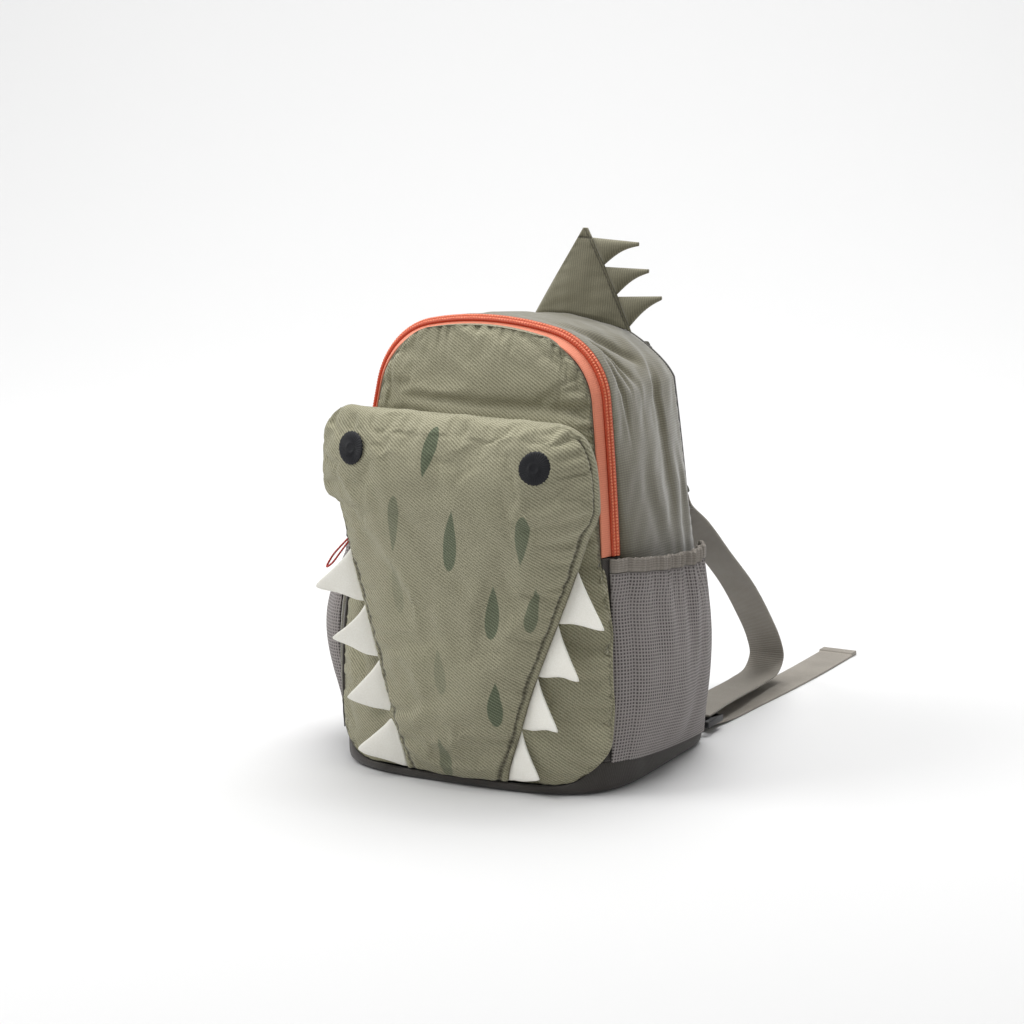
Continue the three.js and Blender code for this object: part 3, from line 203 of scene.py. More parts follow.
def make_mesh(name, points, faces, uv=None, seam=None):
    points = np.asarray(points, float)
    mesh = bpy.data.meshes.new(name)
    mesh.from_pydata((points * MM).tolist(), [], [list(map(int, face)) for face in faces])
    corner = np.empty(len(mesh.loops), dtype=np.int32)
    mesh.loops.foreach_get("vertex_index", corner)
    far_from_seam = np.ones((len(points), 2))
    for layer_name, values in (("cloth", uv), ("seam", far_from_seam if seam is None else seam)):
        if values is not None:
            layer = mesh.uv_layers.new(name=layer_name)
            layer.data.foreach_set("uv", np.asarray(values, float)[corner].ravel())
    mesh.polygons.foreach_set("use_smooth", [True] * len(mesh.polygons))
    pieces[name] = new_object(name, mesh)
    return pieces[name]


def outward(points, faces):
    """The faces turned outwards, judged by the volume that they enclose."""
    a, b, c = (points[[f[i] for f in faces]] for i in (0, 1, 2))
    volume = np.einsum("ij,ij->i", a, np.cross(b, c)).sum()
    quads = [f for f in faces if len(f) == 4]
    if quads:
        a, b, c = (points[[f[i] for f in quads]] for i in (0, 2, 3))
        volume += np.einsum("ij,ij->i", a, np.cross(b, c)).sum()
    return faces if volume > 0 else [list(reversed(f)) for f in faces]


def closed_sheet(name, front, back, seam=None):
    """A closed piece. The seam is each front point's way to a stitched line, and its run."""
    rows, columns = front.shape[:2]
    points = np.concatenate([front.reshape(-1, 3), back.reshape(-1, 3)])
    far = rows * columns
    index = np.arange(far).reshape(rows, columns)
    faces = grid_faces(rows, columns).tolist()
    faces += [face[::-1] for face in grid_faces(rows, columns, far).tolist()]
    rim = np.concatenate([index[0, :-1], index[:-1, -1], index[-1, :0:-1], index[:0:-1, 0]])
    for a, b in zip(rim, np.roll(rim, -1)):
        faces.append([int(b), int(a), int(a + far), int(b + far)])
    uv = np.concatenate([cloth_map(front).reshape(-1, 2), cloth_map(back).reshape(-1, 2)])
    if seam is not None:
        seam = np.concatenate([seam.reshape(-1, 2) * MM, np.ones((far, 2))])
    return make_mesh(name, points, outward(points, faces), uv, seam)


def normals_of(grid):
    along = np.gradient(grid, axis=0)
    across = np.gradient(grid, axis=1)
    normal = np.cross(along, across)
    length = np.linalg.norm(normal, axis=-1, keepdims=True)
    return normal / np.maximum(length, 1e-9)


def lifted(grid, height, towards):
    """The grid moved along its normals. The normals point to the side of the given direction."""
    normal = normals_of(grid)
    middle = normal[grid.shape[0] // 2, grid.shape[1] // 2]
    if np.dot(middle, towards) < 0:
        normal = -normal
    return grid + normal * np.asarray(height)[..., None]


print("faces of a 3 by 3 grid", len(grid_faces(3, 3)))

# %% [markdown]
# ## The bag's outline
# Seen from the front the bag is an arch: two sides that lean in a little, two round shoulders and a
# slightly crowned top. The zip, the side strip and both panels all follow this one line, each a bit
# further in or out, so it is written once.

# %% The arch
HEIGHT, FOOT, CORNER, LEAN, SLOPE = 282.0, 94.0, 45.0, 0.134, 0.21
lean_sin, lean_cos, lean_tan = math.sin(LEAN), math.cos(LEAN), math.tan(LEAN)
slope_sin, slope_cos, slope_tan = math.sin(SLOPE), math.cos(SLOPE), math.tan(SLOPE)
flat_at_floor = FOOT - CORNER * (lean_cos - slope_sin)
shoulder_z = (HEIGHT - CORNER * (slope_cos - lean_sin) - slope_tan / 2 * flat_at_floor) / (
    1 - slope_tan * lean_tan / 4)
taper = lean_tan * shoulder_z / 2
corner_x = FOOT - taper - CORNER * lean_cos
corner_z = shoulder_z - CORNER * lean_sin
top_flat = corner_x + CORNER * slope_sin
top_rise = slope_tan * top_flat / 2
SIDE, ROUND, TOP = 11, 7, 4  # steps of the arch along a side, a corner and half the top
FRONT, BACK, BACK_DROP = -54.0, 80.0, 9.0  # depths at the floor; how much lower the back's top is
ARCH = 2 * (SIDE + ROUND + TOP)


def side_half(z):
    return FOOT - taper * (z / shoulder_z) ** 2


def zip_depth(z):
    return FRONT + 18.0 * (np.maximum(z, 0) / HEIGHT) ** 1.6


def back_depth(z):
    return BACK - 10.0 * (1 - (1 - z / HEIGHT) ** 2)


def arch_half(z, grow):
    radius = CORNER + grow
    rise = z - corner_z
    round_part = corner_x + np.sqrt(np.maximum(radius ** 2 - rise ** 2, 0.0))
    half = np.where(rise < radius * lean_sin, side_half(z) + grow, round_part)
    return np.where(rise < radius * slope_cos, half, corner_x + radius * slope_sin)


def arch_top(x, grow):
    radius = CORNER + grow
    flat = corner_x + radius * slope_sin
    across = np.abs(x)
    crown = corner_z + radius * slope_cos + top_rise * (1 - (across / flat) ** 2)
    fall = corner_z + np.sqrt(np.maximum(radius ** 2 - (across - corner_x) ** 2, 0.0))
    return np.where(across < flat, crown, fall)


def arch(step, foot=0.0):
    """Places of the arch and their outward directions, from the right foot to the left one."""
    step = np.asarray(step, float)
    hand = np.where(step <= ARCH / 2, 1.0, -1.0)
    along = np.where(step <= ARCH / 2, step, ARCH - step)
    z1 = mix(foot, shoulder_z, np.clip(along / SIDE, 0, 1))
    lean = np.arctan(2 * taper * z1 / shoulder_z ** 2)
    angle = mix(LEAN, math.pi / 2 - SLOPE, np.clip((along - SIDE) / ROUND, 0, 1))
    over = np.clip((along - SIDE - ROUND) / TOP, 0, 1)
    x3 = top_flat * (1 - over)
    slope = np.arctan(slope_tan * (1 - over))
    on_side, on_corner = along <= SIDE, along <= SIDE + ROUND

    def pick(a, b, c):
        return np.where(on_side, a, np.where(on_corner, b, c))

    x = pick(side_half(z1), corner_x + CORNER * np.cos(angle), x3)
    z = pick(z1, corner_z + CORNER * np.sin(angle), arch_top(x3, 0))
    nx = pick(np.cos(lean), np.cos(angle), np.sin(slope))
    nz = pick(np.sin(lean), np.sin(angle), np.cos(slope))
    return x * hand, z, nx * hand, nz


# How the left side has settled: height as a share, shift outwards, where the shift begins.
LEFT = [(0.0, 0.0, 72), (0.14, 2.6, 72), (0.3, 4.2, 72), (0.45, 2.4, 72),
        (0.55, 0.0, 60), (0.7, -2.2, 40), (0.85, -4.0, 30), (1.0, -4.6, 20)]


def settled(points):
    """The points of the left side, shifted as the real bag has settled."""
    points = np.array(points, float)
    height = points[..., 2] / HEIGHT
    start = curve(LEFT, height, 2)
    share = np.clip((-points[..., 0] - start) / (FOOT - start), 0, 1)
    points[..., 0] -= curve(LEFT, height, 1) * share * share * (3 - 2 * share)
    return points


def mirrored(points, hand):
    points = np.array(points)
    points[..., 0] *= hand
    return points


def placed(points, hand):
    """Points drawn for the right side, put on either side."""
    return settled(mirrored(points, hand)) if hand < 0 else np.array(points)


print("arch", round(float(shoulder_z), 1), "mm to the shoulders")

# %% [markdown]
# ## The zip band and the side strip
# The zip lies on a narrow band that is turned between the front and the side of the bag. Behind it
# the side strip, or gusset, swells over the sides and the top. Long creases run down from each
# front shoulder, where the cloth is pulled round the corner.

# %% Zip band and gusset surfaces
BAND, TURN, TAPE, GAP = 13.0, 1.08, 1.2, 0.3
band_out, band_back = math.cos(TURN), math.sin(TURN)
gusset_grow_front = BAND / 2 * band_out
panel_grow = -gusset_grow_front - TAPE - GAP
gusset_start = BAND / 2 * band_back + TAPE * band_out + GAP
ZIP_END = 146.5
SIDE_BULGE = 13.0
SIDES = [(0.0, 0.15), (0.1, 0.6), (0.28, 1.0), (0.5, 0.75), (0.65, 0.45), (0.85, 0.2), (1.0, 0.12)]
# Folds: from and to as shares of the arch and of the depth, then width and depth.
FOLDS = [(0.41, 0.1, 0.29, 0.62, 0.05, 0.26), (0.37, 0.12, 0.25, 0.42, 0.045, 0.2),
         (0.27, 0.62, 0.22, 0.7, 0.05, 0.16), (0.6, 0.12, 0.72, 0.58, 0.05, 0.24),
         (0.75, 0.5, 0.79, 0.68, 0.05, 0.16)]


def band_point(place, across, lift):
    x, z, nx, nz = place
    grow = across * band_out + lift * band_back
    depth = zip_depth(z) + across * band_back - lift * band_out
    return np.stack([x + grow * nx, depth + 0 * x, z + grow * nz], axis=-1)


def gusset_front(z):
    return zip_depth(z) + gusset_start


def gusset_grow(t, z):
    swell = SIDE_BULGE * curve(SIDES, z / HEIGHT)
    return mix(gusset_grow_front, -0.5, t) + swell * np.sqrt(4 * t * (1 - t))


def fold_depth(share, t, folds):
    depth = 0.0 * share
    for a0, t0, a1, t1, width, deep in folds:
        da, dt = a1 - a0, t1 - t0
        along = ((share - a0) * da + (t - t0) * dt) / (da * da + dt * dt)
        near = np.clip(along, 0, 1)
        away = np.hypot(share - a0 - near * da, t - t0 - near * dt)
        fade = np.sin(math.pi * np.clip(along * 0.9 + 0.05, 0, 1))
        depth += deep * SIDE_BULGE * fade * hill(away, width)
    return depth


# The base tray's rim: lowest under the front panel, highest beside it, lower again at the back.
RIM_LOW, RIM_HIGH, RIM_BACK, RIM_CORNER = 6.0, 20.0, 7.0, 27.0


def rim_height(x, y):
    start = FRONT + gusset_start
    half = FOOT + panel_grow
    corner = np.clip((np.abs(x) - (half - RIM_CORNER)) / RIM_CORNER, 0, 1)
    front = np.minimum(RIM_LOW + RIM_CORNER * (1 - np.sqrt(1 - corner ** 2)), RIM_HIGH)
    side = mix(RIM_HIGH, RIM_BACK, np.clip((y - start) / (BACK - start), 0, 1))
    return np.where(y < start, front, side)


def gusset_point(step, t, lift=0.0):
    foot = rim_height(FOOT, mix(gusset_front(0.0), BACK, t)) + GAP
    x, z, nx, nz = arch(step, foot)
    tuck = 6.0 * t * t * 2 * np.abs(nx) * np.clip(nz, 0, 1)
    grow = gusset_grow(t, z) + lift - fold_depth(step / ARCH, t, FOLDS) - tuck
    drop = BACK_DROP * t * np.clip(nz, 0, 1)
    depth = mix(gusset_front(z), back_depth(z), t)
    return np.stack([x + grow * nx, depth, z + grow * nz - drop], axis=-1)


def side_surface(z, t):
    """Outward place and depth of the side. A share below 0 lies on the band ahead of it."""
    span = back_depth(z) - gusset_front(z)
    ahead = np.minimum(t, 0) * span
    out = side_half(z) + gusset_grow(np.maximum(t, 0), z) + ahead * band_out
    tape_edge = np.clip(-ahead / 3, 0, 1) * (gusset_start - BAND / 2 * band_back)
    depth = mix(gusset_front(z), back_depth(z), np.maximum(t, 0)) + ahead * band_back - tape_edge
    return out, depth


print("zip band", BAND, "mm wide, ends", ZIP_END, "mm above the floor")

# %% The side strip's cloth
def side_strip():
    steps = np.concatenate([np.linspace(0, SIDE, 70), np.linspace(SIDE, SIDE + ROUND, 45)[1:],
                            np.linspace(SIDE + ROUND, ARCH / 2, 30)[1:]])
    steps = np.concatenate([steps, (ARCH - steps)[-2::-1]])
    share = 0.5 - 0.5 * np.cos(np.linspace(0, math.pi, 66))
    share = mix(share, np.linspace(0, 1, 66), 0.6)
    step, t = np.meshgrid(steps, share, indexing="ij")
    outer = gusset_point(step, t)
    edge = np.minimum(t, 1 - t)
    z = outer[..., 2]
    soft = 0.5 * soft_noise(outer, 34, 3) + 0.22 * soft_noise(outer, 13, 4)
    # Puckers along both seams, and short upright folds where the sides meet the pockets.
    pucker = 0.3 * np.exp(-edge * 130 / 7) * np.sin(step * 19 + 2 * soft_noise(outer, 40, 5))
    upright = hill(z - 168, 26) * blend(0.15, 0.4, t) * blend(0.0, 0.12, 1 - t)
    upright = 1.1 * upright * np.sin(outer[..., 1] * 0.23 + 1.6 * soft_noise(outer, 70, 6))
    # Sharper middles of the long creases from the shoulders.
    narrow = [(*row[:4], row[4] * 0.28, row[5] * 0.42) for row in FOLDS]
    sharp = fold_depth(step / ARCH, t, narrow)
    fine = [(0.405, 0.06, 0.27, 0.36, 0.011, 0.24), (0.36, 0.1, 0.25, 0.28, 0.01, 0.2),
            (0.43, 0.16, 0.3, 0.56, 0.013, 0.22), (0.32, 0.08, 0.22, 0.2, 0.01, 0.16),
            (0.62, 0.1, 0.7, 0.4, 0.012, 0.2), (0.58, 0.2, 0.66, 0.5, 0.012, 0.16),
            (0.47, 0.5, 0.44, 0.9, 0.02, 0.08), (0.25, 0.45, 0.19, 0.8, 0.02, 0.09)]
    height = soft * blend(0.0, 0.12, edge) + pucker + upright - sharp
    height -= fold_depth(step / ARCH, t, fine)
    height = np.clip(height, -4.2, 1.0)
    outer = gusset_point(step, t, height)
    inner = gusset_point(step, t, np.minimum(height, 0) - 1.4)
    return closed_sheet("side_strip", settled(outer), settled(inner))


side_cloth = side_strip()
print("side strip", len(side_cloth.data.polygons), "faces")

# %% [markdown]
# ## The front panel
# A padded twill panel that swells towards the floor. Its seam pulls it in all round, and short
# creases run in from the right side, where the filling gives way. It could be simulated whole, but
# its seams have to stay on the zip. So the padding and its main folds are drawn here, and the
# simulation near the end only wrinkles what lies inside the seam.

# %% Front panel surface
BELLY, PANEL_FOOT, PANEL_CORNER = 22.0, 6.8, 27.0
BELLIES = [(0.0, 0.88), (0.14, 0.97), (0.26, 1.0), (0.43, 0.8), (0.62, 0.62), (0.75, 0.5),
           (0.88, 0.42), (0.95, 0.34), (1.0, 0.0)]
# Creases at the side seams: height as a share, side, reach, width, depth as a share of the belly.
CREASES = [(0.84, 1, 0.35, 0.1, 0.08), (0.76, 1, 0.3, 0.09, 0.11), (0.5, 1, 0.3, 0.1, 0.11),
           (0.36, 1, 0.35, 0.11, 0.15), (0.2, 1, 0.3, 0.1, 0.09), (0.8, -1, 0.3, 0.1, 0.09),
           (0.42, -1, 0.3, 0.1, 0.11)]


def panel_seam(z):
    return arch_half(z, panel_grow)


def panel_half(z):
    low = np.clip((PANEL_FOOT + PANEL_CORNER - z) / PANEL_CORNER, 0, 1)
    return panel_seam(z) - PANEL_CORNER * (1 - np.sqrt(1 - low ** 2))


def panel_fill(x, z):
    return (1 - np.clip(np.abs(x) / panel_seam(z), 0, 1) ** 3) ** 0.6


def panel_face(x, z):
    seam = zip_depth(z) - BAND / 2 * band_back
    middle = seam - BELLY * curve(BELLIES, z / HEIGHT)
    fill = panel_fill(x, z)
    half = panel_seam(z)
    crease = 0.0 * x
    for height, side, reach, width, deep in CREASES:
        rise = (z - height * HEIGHT) / (width * half)
        crease += deep * BELLY * np.exp(-(rise ** 2) - ((1 - side * x / half) / reach) ** 2)
    return mix(seam, middle, fill) + crease * np.minimum(1, 3 * fill)


def stroke(x, z, rows):
    """Narrow folds along straight strokes: from and to in millimetres, width, depth."""
    depth = 0.0 * x
    for x0, z0, x1, z1, width, deep in rows:
        dx, dz = x1 - x0, z1 - z0
        along = ((x - x0) * dx + (z - z0) * dz) / (dx * dx + dz * dz)
        near = np.clip(along, 0, 1)
        away = np.hypot(x - x0 - near * dx, z - z0 - near * dz)
        depth += deep * (0.35 + 0.65 * near) * hill(away, width)
    return depth


print("belly depth", round(float(panel_face(0.0, 73.0)), 1), "mm")

# %% The front panel's cloth
# Each stroke starts out on the panel and deepens towards its seam.
PANEL_STROKES = [
    (40, 262, 68, 271, 3.2, 2.6), (44, 240, 86, 254, 3.6, 3.4), (50, 246, 80, 262, 2.2, 1.8),
    (54, 235, 87, 229, 3.4, 2.8), (60, 246, 80, 243, 2.2, 1.6), (-40, 262, -66, 262, 3.4, 2.0),
    (-50, 243, -80, 240, 3.4, 2.0), (-62, 236, 80, 234, 4.0, 3.4), (70, 216, 91, 214, 2.6, 2.0),
    (66, 206, 90, 202, 2.6, 1.8), (70, 188, 91, 190, 2.6, 2.0), (66, 156, 92, 160, 3.0, 2.4),
    (60, 138, 94, 133, 3.2, 2.8), (66, 118, 95, 122, 2.8, 2.0), (58, 96, 95, 90, 3.2, 2.6),
    (64, 72, 95, 76, 3.0, 2.2), (60, 50, 95, 46, 3.2, 2.4), (-70, 120, -98, 124, 3.4, 2.0),
    (-66, 84, -98, 80, 3.4, 2.0), (-62, 52, -98, 50, 3.4, 2.0), (40, 22, 52, 8, 3.4, 1.6),
    (-20, 20, -24, 8, 3.4, 1.4), (66, 30, 82, 16, 3.4, 2.0),
]


# How far the stuffed panel swells sideways over the strip beside it, by height, in millimetres.
SWELL = [(0, 1.0), (14, 4.0), (36, 10.5), (75, 11.0), (110, 9.5), (135, 6.5), (147, 1.0),
         (282, 0.0)]


def front_cloth():
    radius = CORNER + panel_grow
    row_top = corner_z + radius * slope_cos
    flat = corner_x + radius * slope_sin
    low = PANEL_FOOT + (ZIP_END - PANEL_FOOT) * (1 - np.cos(np.linspace(0, math.pi / 2, 80)))
    high = ZIP_END + (row_top - ZIP_END) * np.sin(np.linspace(0, math.pi / 2, 80))
    rows = np.concatenate([low, high[1:]])
    row, column = np.meshgrid(rows, crowded(121, 0.35), indexing="ij")
    x = column * panel_half(row)
    crown = arch_top(np.minimum(np.abs(x), flat), panel_grow) - row_top
    near_top = np.clip((row - corner_z) / (row_top - corner_z), 0, 1) ** 4
    z = row + crown * near_top
    # Over the top the panel's edge stands up and hides the inner half of the zip.
    cover = 3.8 * (1 - blend(40, 66, x)) * near_top
    y = panel_face(x, z)
    over = np.clip((column - 0.55) / 0.45, 0, 1)
    swell = curve(SWELL, z) * np.sin(math.pi * over ** 8)
    place = np.stack([x + swell, y, z + cover], axis=-1)
    edge = np.minimum(panel_half(row) * (1 - np.abs(column)), arch_top(x, panel_grow) - z)
    edge = np.minimum(edge, (z - PANEL_FOOT) * 1.3)
    soft = 0.7 * soft_noise(place, 46, 21) + 0.3 * soft_noise(place, 17, 22)
    seam_line = np.where(z > 230, x, z)
    pucker = 0.6 * np.exp(-edge / 6.0) * np.sin(seam_line * 0.62 + 2.2 * soft_noise(place, 30, 23))
    height = (soft + pucker) * blend(0, 5, edge)
    height -= stroke(x, z, PANEL_STROKES) * blend(0, 0.8, edge)
    height -= 2.6 * pinches(edge, seam_line, 8.5, 1.7, 24) * blend(0, 0.5, edge)
    height = np.clip(height, -4.8, 0.85)
    front = lifted(place, height, (0, -1, 0))
    back = place.copy()
    back[..., 1] += mix(2.0, 6.0, panel_fill(x, z)) - 0.3
    seam = np.stack([edge + 0.5, seam_line], axis=-1)
    return closed_sheet("front_cloth", settled(front), settled(back), seam)


panel_cloth = front_cloth()
print("front panel", len(panel_cloth.data.polygons), "faces")

# %% [markdown]
# ## The head
# A stuffed applique: a long snout that widens into a brow, sewn on along its edge. The brow stands
# furthest out and casts the shadow above it. Short folds run in from its seam.

# %% Head surface
HEAD_FOOT, HEAD_TOP, HEAD_HALF = 7.2, 231.0, 94.0
HEAD_REACH, HEAD_PUFF, HEAD_EDGE = 82.0, 27.0, 2.0
# Rise, left and right half width, depth of the edge and puff, as shares.
HEAD = [(0.0, 0.362, 0.375, 0.985, 0.1), (0.04, 0.38, 0.392, 0.985, 0.24),
        (0.12, 0.44, 0.452, 0.985, 0.4), (0.266, 0.55, 0.552, 0.97, 0.5),
        (0.413, 0.67, 0.674, 0.93, 0.6), (0.555, 0.785, 0.797, 0.9, 0.7),
        (0.64, 0.84, 0.864, 0.89, 0.8), (0.69, 0.87, 0.902, 0.885, 0.87),
        (0.71, 0.876, 0.925, 0.885, 0.9), (0.73, 0.888, 0.95, 0.885, 0.93),
        (0.747, 0.972, 0.966, 0.885, 0.95), (0.77, 1.0, 0.982, 0.885, 0.98),
        (0.884, 1.0, 0.962, 0.89, 1.0), (0.93, 0.985, 0.932, 0.9, 1.0),
        (0.965, 0.945, 0.885, 0.91, 1.0), (0.988, 0.88, 0.81, 0.92, 1.0),
        (1.0, 0.79, 0.72, 0.93, 1.0)]


def head_rise(z):
    return (z - HEAD_FOOT) / (HEAD_TOP - HEAD_FOOT)


def head_half(z, side):
    """Half width of the head on one side. The side is any number with its sign."""
    rise = head_rise(z)
    return HEAD_HALF * np.where(side < 0, curve(HEAD, rise, 1), curve(HEAD, rise, 2))


def head_edge(z):
    drawn = -HEAD_REACH * curve(HEAD, head_rise(z), 3)
    half = np.minimum(head_half(z, -1), panel_half(z))
    return np.minimum(drawn, panel_face(half, z) - 0.9 - HEAD_EDGE / 2)


def head_front(x, z):
    half = head_half(z, x)
    across = quarter_round(half - np.abs(x), half * 0.62)
    down = quarter_round(HEAD_TOP - z, 34.0)
    return head_edge(z) - HEAD_EDGE / 2 - HEAD_PUFF * curve(HEAD, head_rise(z), 4) * across * down


def head_back(x, z):
    half = head_half(z, x)
    seat = panel_face(np.clip(x, -panel_half(z), panel_half(z)), z) - 0.9
    lean = quarter_round(half - np.abs(x), 26.0) * quarter_round(HEAD_TOP - z, 26.0)
    return np.minimum(mix(head_edge(z) + HEAD_EDGE / 2, seat, lean ** 2), seat)


print("head", round(float(head_half(205, 1) + head_half(205, -1))), "mm wide over the brow")

# %% The head's cloth
HEAD_STROKES = [
    (58, 226, 80, 234, 2.4, 2.8), (66, 219, 88, 228, 2.8, 2.6), (76, 212, 94, 218, 2.6, 2.2),
    (70, 200, 96, 205, 2.6, 2.4), (78, 188, 96, 188, 2.4, 1.8), (44, 167, 92, 177, 3.6, 3.0),
    (62, 160, 86, 160, 2.8, 1.8), (66, 148, 82, 147, 2.4, 1.6), (-66, 214, -70, 232, 2.8, 2.4),
    (-76, 216, -92, 226, 2.8, 2.2), (-78, 196, -94, 200, 2.8, 1.8), (-76, 184, -94, 182, 2.8, 1.8),
    (-60, 163, -84, 158, 3.0, 1.8), (52, 128, 72, 124, 2.8, 1.6), (44, 100, 62, 96, 2.8, 1.6),
    (38, 74, 54, 70, 2.8, 1.6), (-50, 120, -70, 116, 2.8, 1.6), (-38, 84, -56, 80, 2.8, 1.6),
    (30, 46, 44, 44, 2.8, 1.5), (-30, 46, -44, 44, 2.8, 1.5), (10, 222, 14, 232, 2.8, 1.6),
    (-30, 224, -32, 232, 2.8, 1.4), (38, 224, 42, 233, 2.8, 1.5), (-50, 190, 40, 186, 9.0, 1.2),
    (-20, 96, 30, 100, 12.0, 1.0), (-40, 158, -10, 120, 8.0, 1.0),
]


def head_cloth():
    v = np.linspace(0, 1, 150)
    rows, columns = np.meshgrid(1 - (1 - v) ** 1.35, crowded(131, 0.25), indexing="ij")
    z = mix(HEAD_FOOT, HEAD_TOP, rows)
    x = columns * head_half(z, columns)
    front = np.stack([x, head_front(x, z), z], axis=-1)
    edge = np.minimum(head_half(z, columns) * (1 - np.abs(columns)), (HEAD_TOP - z) * 0.8)
    soft = 0.8 * soft_noise(front, 52, 31) + 0.35 * soft_noise(front, 19, 32)
    seam_line = np.where(z > 222, x, z)
    pucker = 0.7 * np.exp(-edge / 5.5) * np.sin(seam_line * 0.66 + 2.0 * soft_noise(front, 26, 33))
    height = (soft + pucker) * blend(0, 6, edge) - stroke(x, z, HEAD_STROKES) * blend(0, 5, edge)
    height -= 1.9 * pinches(edge, seam_line, 11.0, 1.8, 34) * blend(0.5, 4, edge)
    # The snout is stitched down 3 mm inside its right edge and close to its left edge. The brow's
    # right side is topstitched too.
    step = np.linalg.norm(np.diff(front, axis=1, prepend=front[:, :1]), axis=2)
    run = np.cumsum(step, axis=1)
    seam = np.where(x > 0, run[:, -1:] - run - mix(5.6, 4.2, blend(165, 178, z)), run - 5.2)
    # The seam is wider along the snout than round the brow.
    seam = seam * mix(0.62, 1.0, blend(165, 178, z))
    seam = np.where((x < 0) & (z > 160) | (x > 0) & (z > 224), 1000.0, seam)
    groove = np.where(x > 0, 1.6, 0.8) * hill(seam, 1.3)
    front = lifted(front, np.clip(height, -3.6, 1.2) - groove, (0, -1, 0))
    # The brow's top edge is a little wavy.
    front[..., 2] += (0.9 * np.sin(x * 0.16 + 0.8) * blend(0.9, 1.0, rows)
                      * blend(0, 12, HEAD_HALF - np.abs(x)))
    back = np.stack([x, head_back(x, z), z], axis=-1)
    return closed_sheet("head_cloth", front, back, np.stack([seam, z], axis=-1))


head_skin = head_cloth()
print("head", len(head_skin.data.polygons), "faces")

# %% [markdown]
# ## Eyes and teeth
# The eyes are satin stitch: threads laid side by side from the rim to the middle, so their surface
# is ribbed like a fan and their outline is a little frayed. The teeth are soft felt wedges with a
# wavy edge. Both are small closed bodies that follow the head's surface.

# %% Embroidered eyes
EYES = {"right": (60.9, 206.8), "left": (-64.0, 208.6)}
EYE_WIDE, EYE_HIGH = 9.3, 9.9  # half sizes


def eye(name, middle_x, middle_z):
    turns, rings = 144, [0.0, 0.1, 0.2, 0.27, 0.33, 0.4, 0.5, 0.62, 0.75, 0.86, 0.94, 1.0]
    share, theta = np.meshgrid(rings, around(turns), indexing="ij")
    fray = 1 + 0.022 * np.sin(theta * 36) + 0.02 * np.sin(theta * 23 + 1) * (share > 0.8)
    x = middle_x + EYE_WIDE * share * fray * np.cos(theta)
    z = middle_z + EYE_HIGH * share * fray * np.sin(theta)
    rise = 0.75 + 0.55 * hill(share - 0.3, 0.07) - 0.25 * blend(0.9, 1.0, share)
    rise = rise + 0.16 * np.sin(theta * 36 + share * 3) * blend(0.1, 0.4, share)
    y = head_front(x, z) - GAP - 0.35 - rise
    front = np.stack([x, y, z], axis=-1)
    back = front.copy()
    back[..., 1] = head_front(x, z) - 0.1
    points = np.concatenate([front[1:].reshape(-1, 3), back[1:].reshape(-1, 3),
                             front[0, :1], back[0, :1]])
    rows, count = len(rings) - 1, (len(rings) - 1) * turns
    faces = tube_faces(rows, turns)
    faces += [face[::-1] for face in tube_faces(rows, turns, count)]
    for j in range(turns):
        k, last = (j + 1) % turns, (len(rings) - 2) * turns
        faces.append([last + j, last + k, count + last + k, count + last + j])
        faces.append([2 * count, k, j])
        faces.append([2 * count + 1, count + j, count + k])
    flat = np.stack([points[:, 0] - middle_x, points[:, 2] - middle_z], axis=-1) * MM
    return make_mesh(name, points, outward(points, faces), flat)


for side, middle in EYES.items():
    eye(f"eye_thread_{side}", *middle)
print("eyes of", len(pieces["eye_thread_right"].data.polygons), "faces")

# %% Felt teeth
TOOTH_PITCH, TOOTH_HIGH, TOOTH_THICK, TOOTH_LEAN = 33.6, 32.9, 1.8, 7.0
# Reach as a share, then the upper edge, the lower edge and the thickness as shares.
TEETH = [(0.0, 1.0, 0.0, 0.5), (0.25, 0.82, 0.02, 1.0), (0.6, 0.53, 0.04, 0.95),
         (0.9, 0.21, 0.015, 0.7), (1.0, 0.07, 0.015, 0.35)]
# Reach and rise of each tip, from the lowest tooth up.
TIPS = {1: [(24, 4), (27, 2.5), (30, 2), (33, 0)], -1: [(31, 8), (29, 6), (27.5, 9), (28, 7)]}


def ring_body(name, rings, along_map=True):
    """A closed body through rings of equal length, with rounded fans at both ends."""
    rings = np.asarray(rings, float)
    rows, count = rings.shape[:2]
    points = np.concatenate([rings.reshape(-1, 3), rings[:1].mean(axis=1), rings[-1:].mean(axis=1)])
    faces = tube_faces(rows, count)
    for j in range(count):
        k = (j + 1) % count
        faces.append([rows * count, k, j])
        faces.append([rows * count + 1, (rows - 1) * count + j, (rows - 1) * count + k])
    flat = np.stack([points[:, 0], points[:, 2]], axis=-1) * MM
    if along_map:
        run = np.linalg.norm(np.diff(rings.mean(axis=1), axis=0), axis=1)
        run = np.concatenate([[0.0], np.cumsum(run)])
        step = np.linalg.norm(rings - np.roll(rings, 1, axis=1), axis=2).mean(axis=0)
        turn = np.cumsum(step)
        u = np.tile(np.abs(turn - turn[-1] / 2), rows)
        v = np.repeat(run, count)
        flat = np.stack([np.append(u, [0, 0]), np.append(v, [run[0], run[-1]])], axis=-1) * MM
    return make_mesh(name, points, outward(points, faces), flat)


